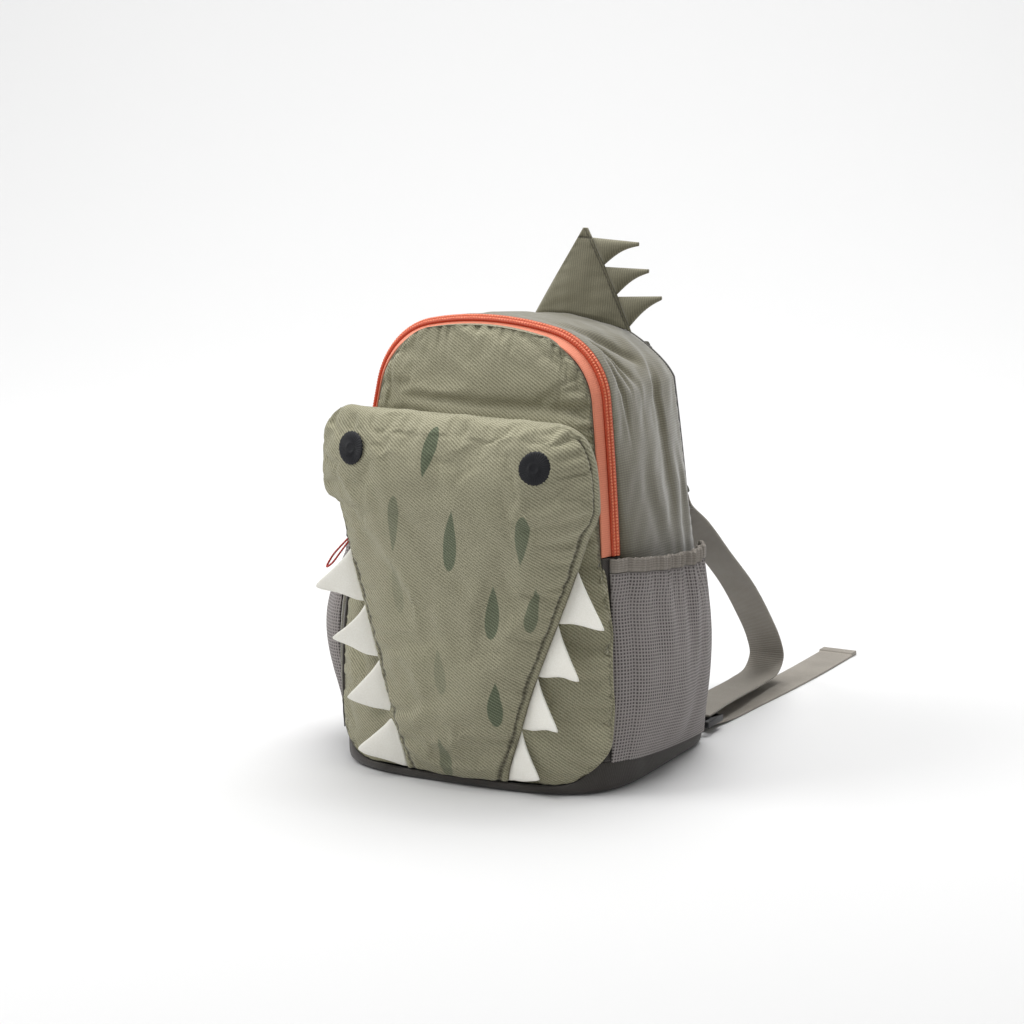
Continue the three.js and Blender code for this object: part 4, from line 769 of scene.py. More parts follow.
def tooth(name, index, hand):
    low = HEAD_FOOT + GAP + index * TOOTH_PITCH
    far, turned_up = TIPS[hand][index]
    rings = []
    for reach in 1 - (1 - np.linspace(0, 1, 22)) ** 1.15:
        top = low + TOOTH_HIGH * curve(TEETH, reach, 1)
        foot = low + TOOTH_HIGH * curve(TEETH, reach, 2)
        thick = TOOTH_THICK * curve(TEETH, reach, 3)
        angle = around(20)
        over = 0.5 - 0.5 * np.cos(angle)
        z = mix(foot, top, over)
        wave = 0.5 * math.sin(reach * 7 + index * 1.7 + hand) * (1 - over) * min(1, reach * 4)
        z = z + wave
        lift = thick * signed_power(np.sin(angle), 0.6)
        x = mix(head_half(z, hand), head_half(low, hand), reach) + GAP + far * reach
        seat = panel_face(np.minimum(x, panel_half(z)), z) - GAP - TOOTH_THICK
        curl = 0.9 * math.sin(reach * 3.1 + index) * (over - 0.5) * reach
        y = np.minimum(head_edge(z), seat) - TOOTH_LEAN * reach + lift + curl
        rings.append(np.stack([x, y, z + turned_up * reach ** 2], axis=-1))
    return ring_body(name, placed(rings, hand), along_map=False)


for index in range(4):
    for side, hand in HANDS:
        tooth(f"felt_tooth_{index + 1}_{side}", index, hand)
print("teeth", sum(name.startswith("felt_tooth") for name in pieces))

# %% [markdown]
# ## Base, back and facings
# The base is a shallow tray of charcoal nylon with a rounded rim and a pleat at each front corner.
# The back panel is padded, and charcoal strips join the front panel to the pockets. The tray could
# be a bevelled box, but rings follow its wavy rim better.

# %% Base tray
TRAY_HALF, TRAY_FRONT, TRAY_BACK, TRAY_MIDDLE = 99.0, 87.0, 79.0, 5.0


def tray_ring(inset, height, turns=220):
    c, s = np.cos(around(turns)), np.sin(around(turns))
    power = np.where(s < 0, 3.6, 10.0)
    reach = np.where(s < 0, TRAY_FRONT, TRAY_BACK) - inset
    x = (TRAY_HALF - inset) * signed_power(c, 2 / power)
    y = TRAY_MIDDLE + reach * signed_power(s, 2 / power)
    z = rim_height(x, y) + height[1] if isinstance(height, tuple) else np.full_like(x, height)
    return np.stack([x, y, z], axis=-1)


def base_cloth():
    # Inset and height of each ring. A height from the rim up is given as a pair.
    profile = [(9, 0.0), (5, 0.0), (3.2, 0.4), (1.6, 1.5), (0.7, 2.6), (0.3, 3.8), (0.1, 5.0),
               (0.0, ("rim", -0.9)), (0.25, ("rim", -0.3)), (0.8, ("rim", 0.0)),
               (1.7, ("rim", 0.0)), (2.3, ("rim", -0.5)), (2.5, ("rim", -1.4)), (3.4, 4.0),
               (7.5, 2.5)]
    rings = np.array([tray_ring(inset, height) for inset, height in profile])
    rise = np.clip((rings[..., 2] - 1) / 5, 0, 1)
    way = rings - np.array([0, TRAY_MIDDLE, 0])
    way[..., 2] = 0
    way /= np.linalg.norm(way, axis=-1, keepdims=True)
    dent = 0.35 * soft_noise(rings, 26, 41)
    for hand in (1, -1):
        away = np.hypot(rings[..., 0] - hand * 88, rings[..., 1] + 62)
        dent -= 1.3 * hill(away, 4.5) * rise
    return ring_body("base_cloth", rings + way * (np.clip(dent, -1.8, 0.6) * rise)[..., None])


base_skin = base_cloth()
print("base", len(base_skin.data.polygons), "faces")

# %% Back panel and facings
def back_cloth():
    steps = np.linspace(0, ARCH / 2 - 1, 110)
    edge = gusset_point(steps, np.ones_like(steps))
    half, column = np.meshgrid(edge[:, 0], crowded(81, 0.4), indexing="ij")
    z = np.repeat(edge[:, 2:], 81, axis=1)
    x = half * column
    top, foot = edge[-1, 2], edge[0, 2]
    full = quarter_round(top - z, CORNER) * quarter_round(z - foot, CORNER)
    pad = mix(2.5, 7.0, (1 - column ** 4) * full)
    place = np.stack([x, 0 * x, z], axis=-1)
    near = np.minimum(np.minimum((1 - np.abs(column)) * half, top - z), z - foot)
    # Three stitched channels hold the foam.
    channel = 0.0 * x
    for height in (70, 130, 190):
        channel += 1.7 * hill(z - height, 2.6)
    height = (0.35 * soft_noise(place, 40, 51) - channel) * blend(3, 12, near)
    height = np.clip(height, -2.2, 0.5)
    outer = np.stack([x, back_depth(z) + GAP + pad + height, z], axis=-1)
    inner = np.stack([x, back_depth(z) + GAP, z], axis=-1)
    return closed_sheet("back_cloth", settled(outer), settled(inner))


def facing_cloth(name, hand):
    z, across = np.meshgrid(np.linspace(20.6, 145.6, 80), np.linspace(-6.5, 6.5, 9), indexing="ij")
    place = (side_half(z), z, 1.0, 0.0)
    grids = []
    for lift in (0.0, -TAPE):
        points = band_point(place, across, lift)
        ripple = 0.3 * soft_noise(points, 15, 61) if lift == 0.0 else 0.0
        grids.append(placed(band_point(place, across, lift + np.minimum(ripple, 0.0)), hand))
    return closed_sheet(name, *grids)


back_cloth()
for side, hand in HANDS:
    facing_cloth(f"facing_cloth_{side}", hand)
print("back panel", len(pieces["back_cloth"].data.polygons), "faces")

# %% [markdown]
# ## Side pockets
# Open mesh over a darker cloth, gathered on an elastic at the top. The gathers are deep at the hem
# and die out below it, so one function of the height scales them. The holes of the mesh are drawn
# by its material, because thousands of real ones would be too fine to see.

# %% Side pockets and hems
POCKET = [(0.0, 0.04, 0.0), (0.08, 0.4, 0.05), (0.25, 0.85, 0.1), (0.5, 1.0, 0.3),
          (0.8, 1.0, 0.75), (1.0, 0.95, 1.0)]


def pocket_top(t):
    return mix(145.5, 134.0, np.clip(t, 0, 1))


def pocket_point(form, rise, share, lift):
    start, fullness, seed = form
    t = mix(start, 0.97, share)
    foot = rim_height(FOOT, mix(gusset_front(0.0), BACK, t)) + GAP
    z = mix(foot, pocket_top(t) - 9.0, rise)
    out, y = side_surface(z, t)
    belly = np.sin(math.pi * np.clip(share, 0, 1)) ** 0.55
    full = fullness * (1 - share) ** 1.5 * np.sin(math.pi * np.minimum(1, rise * 1.1))
    off = (8.6 + full) * curve(POCKET, rise, 1)
    gathered = curve(POCKET, rise, 2)
    place = np.stack([0 * y, y, z * 0.25], axis=-1)
    fine = 0.55 * np.sin(y * 1.55 + 1.5 * soft_noise(place, 30, seed)) * blend(0.72, 1.0, rise)
    folds = 1.5 * np.cos(14 * math.pi * share) * gathered + fine
    folds += 1.2 * soft_noise(place, 26, seed + 1) * blend(0.0, 0.15, rise)
    x = out + 2.7 + (off + folds) * belly + lift
    return np.stack([x, y, z], axis=-1)


def pocket_cloth(side, hand, form):
    rise, share = np.meshgrid(np.linspace(0, 1, 90), np.linspace(0, 1, 150), indexing="ij")
    outer, inner = pocket_point(form, rise, share, 0.0), pocket_point(form, rise, share, -0.9)
    share = np.linspace(0, 1, 360)
    foot = pocket_point(form, np.ones_like(share), share, -0.5)
    t = mix(form[0], 0.97, share)
    top = pocket_top(t)
    seat = side_surface(top, t)[0] + 1.7
    gather = np.cos(14 * math.pi * share)
    ruche = 1 + 0.2 * gather + 0.28 * np.sin(foot[:, 1] * 2.1 + 1.3 * np.sin(foot[:, 1] * 0.3))
    half = 1.3 * ruche * blend(-0.02, 0.02, share) * blend(-0.02, 0.02, 1 - share)
    centre = np.maximum(foot[:, 0], seat + half)
    bottom = foot[:, 2] + 0.3
    wavy = 0.35 * np.sin(foot[:, 1] * 2.1 + 0.9)
    rings = []
    for angle in around(16):
        c, s = math.cos(angle), math.sin(angle)
        x = centre + half * signed_power(c, 0.6)
        level = 0.5 + 0.5 * signed_power(s, 0.45)
        rings.append(np.stack([x, foot[:, 1], mix(bottom, top + wavy * level, level)], axis=-1))
    closed_sheet(f"pocket_mesh_{side}", placed(outer, hand), placed(inner, hand))
    ring_body(f"pocket_elastic_{side}", placed(np.array(rings).transpose(1, 0, 2), hand))


pocket_cloth("right", 1, (-0.085, 0.0, 71))
pocket_cloth("left", -1, (0.095, 18.0, 75))
print("pocket", len(pieces["pocket_mesh_right"].data.polygons), "faces")

# %% [markdown]
# ## The tail
# A stuffed triangle of ribbed canvas that stands on the top seam, with three small stuffed spikes
# sewn to its right side.

# %% Tail and spikes
TAIL_LEFT, TAIL_RIGHT, TAIL_TIP, TAIL_TOP, TAIL_Y = -18.0, 50.0, 18.0, 330.0, 62.0


def gusset_top(x, y):
    front = gusset_front(HEIGHT)
    t = np.clip((y - front) / (back_depth(HEIGHT) - front), 0, 1)
    return arch_top(x, gusset_grow(t, HEIGHT)) - BACK_DROP * t


def tail_edge(hand, rise):
    return mix(TAIL_LEFT if hand < 0 else TAIL_RIGHT, TAIL_TIP + hand * 1.5, rise)


def tail_z(x, y, rise):
    return mix(gusset_top(x, y) - 1.6, TAIL_TOP, rise)


def tail_cloth():
    rises = 0.5 - 0.5 * np.cos(np.linspace(0, math.pi, 60))
    rises = mix(rises, np.linspace(0, 1, 60), 0.5)
    rise, over = np.meshgrid(rises, crowded(57, 0.0), indexing="ij")
    x = mix(tail_edge(-1, rise), tail_edge(1, rise), (over + 1) / 2)
    full = mix(15.0, 3.0, rise ** 1.2) * mix(0.7, 1.0, np.minimum(1, rise * 16))
    faces = []
    for hand in (1, -1):
        half = mix(1.2, full, (1 - over ** 2) ** 0.6) / 2
        place = np.stack([x, hand * 40 + 0 * x, rise * 60], axis=-1)
        edge = (1 - np.abs(over)) * (tail_edge(1, rise) - tail_edge(-1, rise)) / 2
        soft = 0.55 * soft_noise(place, 24, 81) + 0.2 * soft_noise(place, 9, 82)
        pucker = 0.4 * np.exp(-edge / 3) * np.sin(rise * 62)
        y = TAIL_Y + hand * (half + np.clip(soft + pucker, -1.5, 0.5) * blend(0, 3, edge))
        # The top is folded over into a small cap.
        y = y - hand * 0.9 * hill(rise - 0.9, 0.012) * (1 - over ** 2)
        faces.append(np.stack([x, y, tail_z(x, y, rise)], axis=-1))
    right_edge = (1 - over) * (tail_edge(1, rise) - tail_edge(-1, rise)) / 2
    # Stitches run down the right edge and across the foot of the cap.
    away = np.minimum(np.abs(right_edge - 1.6), 45 * np.abs(rise - 0.9))
    return closed_sheet("tail_cloth", faces[1], faces[0], np.stack([away, rise * 70], axis=-1))


def spike_cloth(number, high, low, rise, out):
    tip_x = tail_edge(1, (high + low) / 2) + out * 27.0
    tip_z = float(tail_z(TAIL_RIGHT, TAIL_Y, rise))
    high_x, low_x = tail_edge(1, high) + GAP, tail_edge(1, low) + GAP
    high_z = float(tail_z(tail_edge(1, high), TAIL_Y, high))
    low_z = float(tail_z(tail_edge(1, low), TAIL_Y, low))
    rings = []
    for share in np.linspace(0, 1, 26):
        sag = math.sin(math.pi * share) * 0.1 * (tip_x - low_x)
        angle = around(24)
        along = (1 + np.cos(angle)) / 2
        top = mix(high_z, tip_z + 1.2, share)
        low_line = mix(low_z, tip_z - 1.2, share) + sag
        x = mix(mix(low_x, tip_x, share), mix(high_x, tip_x, share), along)
        z = mix(low_line, top, along)
        thick = mix(9.0, 2.4, share) * (0.3 + 0.7 * min(1, share / 0.12))
        thick *= 1 - 0.35 * max(0.0, (share - 0.9) / 0.1)
        y = TAIL_Y + thick / 2 * np.sin(angle)
        rings.append(np.stack([x, y, z], axis=-1))
    return ring_body(f"spike_cloth_{number}", rings, along_map=False)


tail_cloth()
for number, row in enumerate([(0.9, 0.62, 0.871, 1.045), (0.6, 0.33, 0.612, 0.97),
                              (0.31, 0.04, 0.354, 0.975)], start=1):
    spike_cloth(number, *row)
print("tail", len(pieces["tail_cloth"].data.polygons), "faces")

# %% [markdown]
# ## Zip
# A woven tape with a nylon coil on it. The coil is one long ribbed strip, because at this distance
# its hundreds of turns read as two rows of fine teeth with a line between them.

# %% Zip tape and coil
def arch_run(foot, count):
    """Arch steps at even lengths along the arch from a foot height, and their running length."""
    fine = np.linspace(0, ARCH, 4001)
    x, z, _, _ = arch(fine, foot)
    run = np.concatenate([[0.0], np.cumsum(np.hypot(np.diff(x), np.diff(z)))])
    even = np.linspace(0, run[-1], count)
    return np.interp(even, run, fine), even


def zip_strip(name, centre, width, low, high, count, relief):
    steps, run = arch_run(ZIP_END, count)
    lines = np.linspace(-0.5, 0.5, 13)
    place = tuple(part[:, None] for part in arch(steps, ZIP_END))
    rise = relief(run[:, None], lines[None, :])
    top = band_point(place, centre + width * lines[None, :], high + rise)
    bottom = band_point(place, centre + width * lines[None, :], low + 0 * rise)
    return closed_sheet(name, settled(top), settled(bottom))


def coil_relief(run, line):
    side = np.where(line < 0, 0.0, 0.5)
    tooth = 0.5 * np.abs(np.sin(math.pi * (run / 1.7 + side))) ** 0.7
    crown = 0.9 * (1 - (np.abs(np.abs(line) - 0.24) / 0.26) ** 2)
    return (crown * (0.65 + tooth) - 0.9) * (np.abs(line) < 0.49) - 0.6 * (np.abs(line) > 0.49)


def tape_relief(run, line):
    return 0.04 * np.sin(run * 3) + 0 * line


zip_strip("zip_cloth", 0.0, BAND, -TAPE, -0.05, 400, tape_relief)
zip_strip("zip_coil", 3.2, 5.6, -0.3, GAP + 1.8, 2300, coil_relief)
print("coil", len(pieces["zip_coil"].data.polygons), "faces")

# %% [markdown]
# ## Straps, webbing and buckles
# The padded straps and the webbing follow a smooth curve through a few points. A band keeps its
# width level, so its frame is built from the world's X axis at every point of the curve.

# %% Curves and frames along them
def path_frames(points, shares):
    """Points of a smooth curve at shares of its length, their directions and frames."""
    p = np.asarray(points, float)
    p = np.concatenate([[2 * p[0] - p[1]], p, [2 * p[-1] - p[-2]]])
    fine = []
    for i in range(1, len(p) - 2):
        dt = np.sqrt(np.linalg.norm(np.diff(p[i - 1:i + 3], axis=0), axis=1))
        a = (p[i] - p[i - 1]) / dt[0] - (p[i + 1] - p[i - 1]) / (dt[0] + dt[1])
        a = (a + (p[i + 1] - p[i]) / dt[1]) * dt[1]
        b = (p[i + 1] - p[i]) / dt[1] - (p[i + 2] - p[i]) / (dt[1] + dt[2])
        b = (b + (p[i + 2] - p[i + 1]) / dt[2]) * dt[1]
        t = np.linspace(0, 1, 60, endpoint=False)[:, None]
        fine.append(p[i] + a * t + (3 * (p[i + 1] - p[i]) - 2 * a - b) * t ** 2
                    + (2 * (p[i] - p[i + 1]) + a + b) * t ** 3)
    fine = np.concatenate(fine + [p[-2:-1]])
    run = np.concatenate([[0.0], np.cumsum(np.linalg.norm(np.diff(fine, axis=0), axis=1))])
    at = np.asarray(shares, float) * run[-1]
    point = np.stack([np.interp(at, run, fine[:, k]) for k in range(3)], axis=-1)
    along = np.stack([np.interp(at, run, np.gradient(fine[:, k], run)) for k in range(3)], axis=-1)
    along /= np.linalg.norm(along, axis=1, keepdims=True)
    across = np.array([1.0, 0, 0]) - along[:, :1] * along
    across /= np.linalg.norm(across, axis=1, keepdims=True)
    return point, along, across, np.cross(across, along), run[-1]


def band_rings(points, count, section):
    """Rings along a curve. The section gives places across and off the face for each share."""
    shares = np.linspace(0, 1, count)
    point, _, across, face, length = path_frames(points, shares)
    rings = []
    for k, share in enumerate(shares):
        over, off = section(share, share * length)
        rings.append(point[k] + over[:, None] * across[k] + off[:, None] * face[k])
    return np.array(rings)


def oval(half_wide, half_thick, square, count):
    angle = around(count)
    return (half_wide * signed_power(np.cos(angle), 2 / square),
            half_thick * signed_power(np.sin(angle), 2 / square))


# Middle lines: across as a share of FOOT, millimetres behind the back, height as a share.
STRAP = [(0.383, -1.6, 0.9078), (0.3936, 7.0, 0.8723), (0.4362, 12.0, 0.8085), (0.5, 10.0, 0.727),
         (0.5745, 7.0, 0.6525), (0.6489, 6.0, 0.5957), (0.7021, 10.0, 0.5532)]
LOOP = [(0.766, 28, 0.4894), (0.7766, 63, 0.3936), (0.7766, 105, 0.2837), (0.7766, 133, 0.1915),
        (0.7819, 152, 0.1135), (0.7872, 157, 0.0674), (0.7872, 149, 0.0372), (0.7926, 122, 0.0301),
        (0.8085, 84, 0.0355), (0.8298, 47, 0.0411)]
strap_line = [(x * FOOT, BACK + y, z * HEIGHT) for x, y, z in STRAP]
# The ladder lock's middle and half length, and the webbing's height over and under its bars.
lock_y, lock_half, web_over, web_under = BACK + 2.5 + GAP + 5 + 12, 12.0, 8 + 2.2 + 0.3 + 0.8, 4.7
LOCK_X = FOOT - 15
end_point, end_along = (part[0] for part in path_frames(strap_line, [1.0])[:2])
loop_line = [end_point + end_along * reach for reach in (GAP, 6.0)]
loop_line += [(x * FOOT, BACK + y, z * HEIGHT) for x, y, z in LOOP]
loop_line += [(LOCK_X, lock_y + 6, web_over), (LOCK_X, lock_y - 1.8, web_over)]
free_line = [(LOCK_X, lock_y - 1.8, web_under), (LOCK_X, lock_y + 12, web_under * 0.7),
             (0.8617 * FOOT, 135, 1.2), (0.8936 * FOOT, 180, 0.8), (0.9255 * FOOT, 225, 0.8),
             (0.9468 * FOOT, 270, 0.8), (0.9574 * FOOT, 335, 0.8)]
print("strap and loop points", len(strap_line), len(loop_line))


# %% Padded straps and their binding
def strap_width(share):
    return mix(38.0, 30.0, np.clip(share * 3 - 2, 0, 1))


def strap_ends(share):
    return min(1.0, share * 8 + 0.4, (1 - share) * 8 + 0.4)


def strap_section(share, run):
    angle = around(56)
    over = signed_power(np.cos(angle), 0.75)
    pad = 8.0 * strap_ends(share) * (1 - 0.65 * over ** 4) / 2
    pad = pad * (1 - 0.05 * np.cos(run * 0.35) * (1 - np.abs(over)))
    # A stitched channel runs inside each edge.
    channel = 1.1 * hill(np.abs(over) - 0.74, 0.05) * strap_ends(share)
    lift = signed_power(np.sin(angle), 0.5) * (pad - channel)
    return over * strap_width(share) / 2 * 0.985, lift


def binding_section(hand):
    def section(share, run):
        over, off = oval(3.1, 2.3 * strap_ends(share) ** 0.5, 3.2, 18)
        ripple = 1 + 0.05 * math.sin(run * 1.3)
        return hand * (strap_width(share) / 2 - 2.9) + over * ripple, off * ripple
    return section


def join(name, names):
    """Several meshes made one piece. Their UV maps are kept."""
    bpy.ops.object.select_all(action="DESELECT")
    for each in names:
        pieces[each].select_set(True)
    bpy.context.view_layer.objects.active = pieces[names[0]]
    bpy.ops.object.join()
    whole = pieces[names[0]]
    for each in names:
        del pieces[each]
    whole.name = whole.data.name = name
    pieces[name] = whole
    return whole


for side, hand in HANDS:
    ring_body(f"strap_pad_{side}", mirrored(band_rings(strap_line, 130, strap_section), hand))
    for edge in (1, -1):
        rings = band_rings(strap_line, 200, binding_section(edge))
        ring_body(f"binding_{edge}", mirrored(rings, hand))
    join(f"strap_binding_{side}", ["binding_1", "binding_-1"])
print("straps", len(pieces["strap_pad_right"].data.polygons), "faces")


# %% Webbing
WEB_HALF, WEB_THICK, WEB_RIB = 12.5, 0.8, 1.7  # the thickness is halved too; the ribs' pitch


def webbing_section(share, run):
    over, off = oval(WEB_HALF, WEB_THICK, 12, 28)
    rib = 0.1 * np.sin(run * 2 * math.pi / WEB_RIB) * (1 - np.abs(over / WEB_HALF) ** 6)
    return over, off * (1 + rib / WEB_THICK)


def free_section(share, run):
    over, off = webbing_section(share, run)
    # The last 8 mm are folded over and stitched down.
    fold = blend(0.962, 0.968, share)
    off = off + fold * np.where(off > 0, 1.5, 0)
    dent = fold * 0.45 * hill(np.abs(over) - 8.5, 0.8)
    return over, off - np.where(off > 0, dent, 0)


lock_end = lock_y - lock_half
tab_line = [(LOCK_X, BACK + 2.5 + 0.9, 13.0), (LOCK_X, (BACK + 3.4 + lock_end - 0.9) / 2, 11.5),
            (LOCK_X, lock_end - 0.9, 8.0)]
for side, hand in HANDS:
    for name, line, count, section in (("webbing_long", loop_line, 640, webbing_section),
                                       ("webbing_end", free_line, 520, free_section),
                                       ("webbing_tab", tab_line, 30, webbing_section)):
        ring_body(f"{name}_{side}", mirrored(band_rings(line, count, section), hand))
print("webbing", len(pieces["webbing_long_right"].data.polygons), "faces")

# %% [markdown]
# ## Hard parts
# The two ladder locks and the zip slider are moulded. Their measured solids have the right shape
# but sharp edges, so a copy of each is merged and bevelled as one would by hand.

# %% Bevelled copies of the moulded parts
def moulded(node, name, width):
    piece = new_object(name, bpy.data.objects[node].data.copy())
    bpy.ops.object.select_all(action="DESELECT")
    piece.select_set(True)
    bpy.context.view_layer.objects.active = piece
    bpy.ops.object.mode_set(mode="EDIT")
    bpy.ops.mesh.select_all(action="SELECT")
    bpy.ops.mesh.remove_doubles(threshold=0.00001)
    bpy.ops.mesh.dissolve_limited(angle_limit=math.radians(2))
    bpy.ops.object.mode_set(mode="OBJECT")
    bevel = piece.modifiers.new("edges", "BEVEL")
    bevel.width = width * MM
    bevel.segments = 3
    bevel.limit_method = "ANGLE"
    bevel.angle_limit = math.radians(35)
    bpy.ops.object.modifier_apply(modifier="edges")
    bpy.ops.object.shade_smooth_by_angle(angle=math.radians(40))
    pieces[name] = piece
    return piece


for side in ("right", "left"):
    moulded(f"ladder_lock_{side}", f"buckle_{side}", 0.9)
moulded("zip_slider", "slider_body", 0.5)
print("buckle", len(pieces["buckle_right"].data.polygons), "faces")

# %% [markdown]
# ## The cord pull
# A thin red cord, looped through the slider. It hangs open, so its middle line is drawn as a loop
# of a few points, and its surface is braided in two strands.

# %% The zip's red cord pull
# Out from the bag and up, as shares of the reach, then how far the loop is open there.
CORD_HALF, PULL_REACH, PULL_OPEN = 0.65, 22, 2.8
PULL = [(0.0, 0.0, -0.25), (0.25, -0.32, -0.45), (0.5, -0.65, -0.5), (0.66, -0.86, 0.0),
        (0.5, -0.65, 0.5), (0.25, -0.32, 0.45), (0.0, 0.0, 0.25)]


def pull_cord():
    height = ZIP_END - 1 - 5.5 - 0.8 - GAP
    place = (side_half(height), height, 1.0, 0.0)
    start = band_point(place, 3.2, 2.4 + 0.8)
    line = [start + np.array([out * PULL_REACH + wide * PULL_OPEN, wide * 4,
                              rise * PULL_REACH + wide * PULL_OPEN]) for out, rise, wide in PULL]
    point, along, across, face, length = path_frames(line, np.linspace(0, 1, 240))
    side = np.cross(along, face)
    rings = []
    for k in range(240):
        angle = around(12)
        braid = CORD_HALF * (1 + 0.09 * np.sin(2 * angle + k * length / 240 * 3.6))
        rings.append(point[k] + (braid * np.cos(angle))[:, None] * side[k]
                     + (braid * np.sin(angle))[:, None] * face[k])
    return ring_body("pull_cord", placed(rings, -1))


pull_cord()
print("pull", len(pieces["pull_cord"].data.polygons), "faces")

# %% [markdown]
# ## Letting the cloth settle
# So far the head and the front panel are smooth drawings with a few folds. A short cloth
# simulation makes them cloth: their seams are held, the rest is cut a little too large and blown up
# softly, so it wrinkles where a sewn and stuffed piece does. How far a point may move is capped, so
# neither leaves its place. The result is written to the mesh, and the simulation is removed.

# %% Cloth simulation with held seams
def settle(name, held, slack, pressure, cap, bend=0.4, frames=20):
    """Wrinkle one piece. Held is 1 where a point stays and 0 where it is free."""
    piece = pieces[name]
    mesh = piece.data
    start = np.empty(len(mesh.vertices) * 3)
    mesh.vertices.foreach_get("co", start)
    start = start.reshape(-1, 3)
    group = piece.vertex_groups.new(name="held")
    for weight in np.unique(np.round(held, 2)):
        if weight > 0:
            index = np.flatnonzero(np.round(held, 2) == weight).tolist()
            group.add(index, float(weight), "REPLACE")
    cloth = piece.modifiers.new("cloth", "CLOTH")
    rules = cloth.settings
    rules.quality = 5
    rules.mass = 0.2
    rules.tension_stiffness = rules.compression_stiffness = 30
    rules.shear_stiffness = 8
    rules.bending_stiffness = bend
    rules.vertex_group_mass = "held"
    rules.shrink_min = -slack
    rules.use_pressure = True
    rules.uniform_pressure_force = pressure
    rules.effector_weights.gravity = 0
    cloth.point_cache.frame_end = frames
    scene = bpy.context.scene
    for frame_number in range(1, frames + 1):
        scene.frame_set(frame_number)
    seen = piece.evaluated_get(bpy.context.evaluated_depsgraph_get()).to_mesh()
    end = np.empty(len(mesh.vertices) * 3)
    seen.vertices.foreach_get("co", end)
    piece.evaluated_get(bpy.context.evaluated_depsgraph_get()).to_mesh_clear()
    piece.modifiers.remove(cloth)
    piece.vertex_groups.remove(group)
    scene.frame_set(1)
    move = end.reshape(-1, 3) - start
    size = np.linalg.norm(move, axis=1, keepdims=True)
    move *= cap * MM * np.tanh(size / (cap * MM)) / np.maximum(size, 1e-9)
    mesh.vertices.foreach_set("co", (start + move).ravel())
    mesh.update()
    return float(size.max()) / MM


def held_rim(rows, columns, margin):
    """Points of a closed sheet that stay: its whole back and the rim of its front."""
    i, j = np.meshgrid(np.arange(rows), np.arange(columns), indexing="ij")
    rim = np.minimum(np.minimum(i, rows - 1 - i), np.minimum(j, columns - 1 - j))
    front = np.clip(1 - rim / margin, 0, 1)
    return np.concatenate([front.ravel(), np.ones(rows * columns)])


print("cloth ready")

# %% The head and the front panel settle
for name, rows, columns, slack, pressure, cap in (
        ("head_cloth", 150, 131, 0.03, 3.0, 3.5), ("front_cloth", 159, 121, 0.03, 2.0, 3.0)):
    held = held_rim(rows, columns, 3)
    if name == "head_cloth":
        spots = np.array([v.co for v in pieces[name].data.vertices]) / MM
        for x, z in EYES.values():
            away = np.hypot(spots[:, 0] - x, spots[:, 2] - z)
            # The cloth is sewn down under each eye.
            held = np.maximum(held, np.clip((14 - away) / 3, 0, 1))
    print(name, "moved up to", round(settle(name, held, slack, pressure, cap), 1), "mm")

# %% [markdown]
# ## Materials
# A shader is a few nodes joined in a row. One function adds a node, sets it and links it. Colours
# are written as on a screen, in hex, and turned to the linear values that light needs. Patterns
# read the cloth map, in metres, so their scale is a real thread spacing.

# %% One function for colours and one for nodes
def linear(code):
    parts = [int(code[i:i + 2], 16) / 255 for i in (0, 2, 4)]
    parts = [p / 12.92 if p <= 0.04045 else ((p + 0.055) / 1.055) ** 2.4 for p in parts]
    return (*parts, 1.0)


def fill(tree, socket, value):
    """Link an input to a node or a socket, or set it to anything else."""
    if isinstance(value, bpy.types.Node):
        value = next(out for out in value.outputs if out.enabled)
    if isinstance(value, bpy.types.NodeSocket):
        tree.links.new(value, socket)
    else:
        socket.default_value = value


def add(tree, kind, *values, **named):
    """One node. The values fill its open inputs in order. A name with a capital letter is that of
    an input, and any other name is that of a setting."""
    made = tree.nodes.new("ShaderNode" + kind)
    for name in filter(str.islower, named):
        setattr(made, name, named[name])
    for socket, value in zip([s for s in made.inputs if s.enabled], values):
        fill(tree, socket, value)
    for name, value in named.items():
        if not name.islower():
            fill(tree, made.inputs[name.replace("_", " ")], value)
    return made


def new_material(name, roughness, specular=0.35, sheen=0.0):
    """A material with its shader set, and the function that adds nodes to it."""
    material = bpy.data.materials.new(name)
    material.use_nodes = True
    inputs = material.node_tree.nodes["Principled BSDF"].inputs
    inputs["Roughness"].default_value = roughness
    inputs["Specular IOR Level"].default_value = specular
    inputs["Sheen Weight"].default_value = sheen
    return material, functools.partial(add, material.node_tree)


def finish_material(material, tone, height, depth_mm, strength):
    """The tone becomes the shader's colour, and the height its fine relief."""
    tree = material.node_tree
    inputs = tree.nodes["Principled BSDF"].inputs
    fill(tree, inputs["Base Color"], tone)
    fill(tree, inputs["Normal"], add(tree, "Bump", Height=height, Distance=depth_mm * MM,
                                     Strength=strength))
    return material


print("mid grey in linear light", round(linear("808080")[0], 3))

# %% [markdown]
# ### What the cloths share
# Woven ribs are even bands across the cloth map. Stitches are short dashes along a seam. The seam
# map holds each point's way to that seam and its run along it.

# %% Bands, weave, patches and stitches
ONE_BAND = 2 * math.pi / 20  # the scale at which a wave texture has one band in a metre


def stripes(node, vector, pitch_mm, degrees, wobble):
    """Even bands of a real pitch. The angle is that of the way across the bands."""
    turned = node("Mapping", Vector=vector, Rotation=(0, 0, math.radians(-degrees)))
    wave = node("TexWave", Vector=turned, Scale=ONE_BAND / (pitch_mm * MM), Distortion=wobble,
                Detail=1.0, Detail_Scale=1.5)
    return wave.outputs[1]


def woven(node, ribs, threads, least):
    """Ribs broken by the threads that cross them. Least is what is left of a rib in a gap."""
    kept = node("Math", threads, 1 - least, least, operation="MULTIPLY_ADD")
    return node("Math", ribs, kept, operation="MULTIPLY")


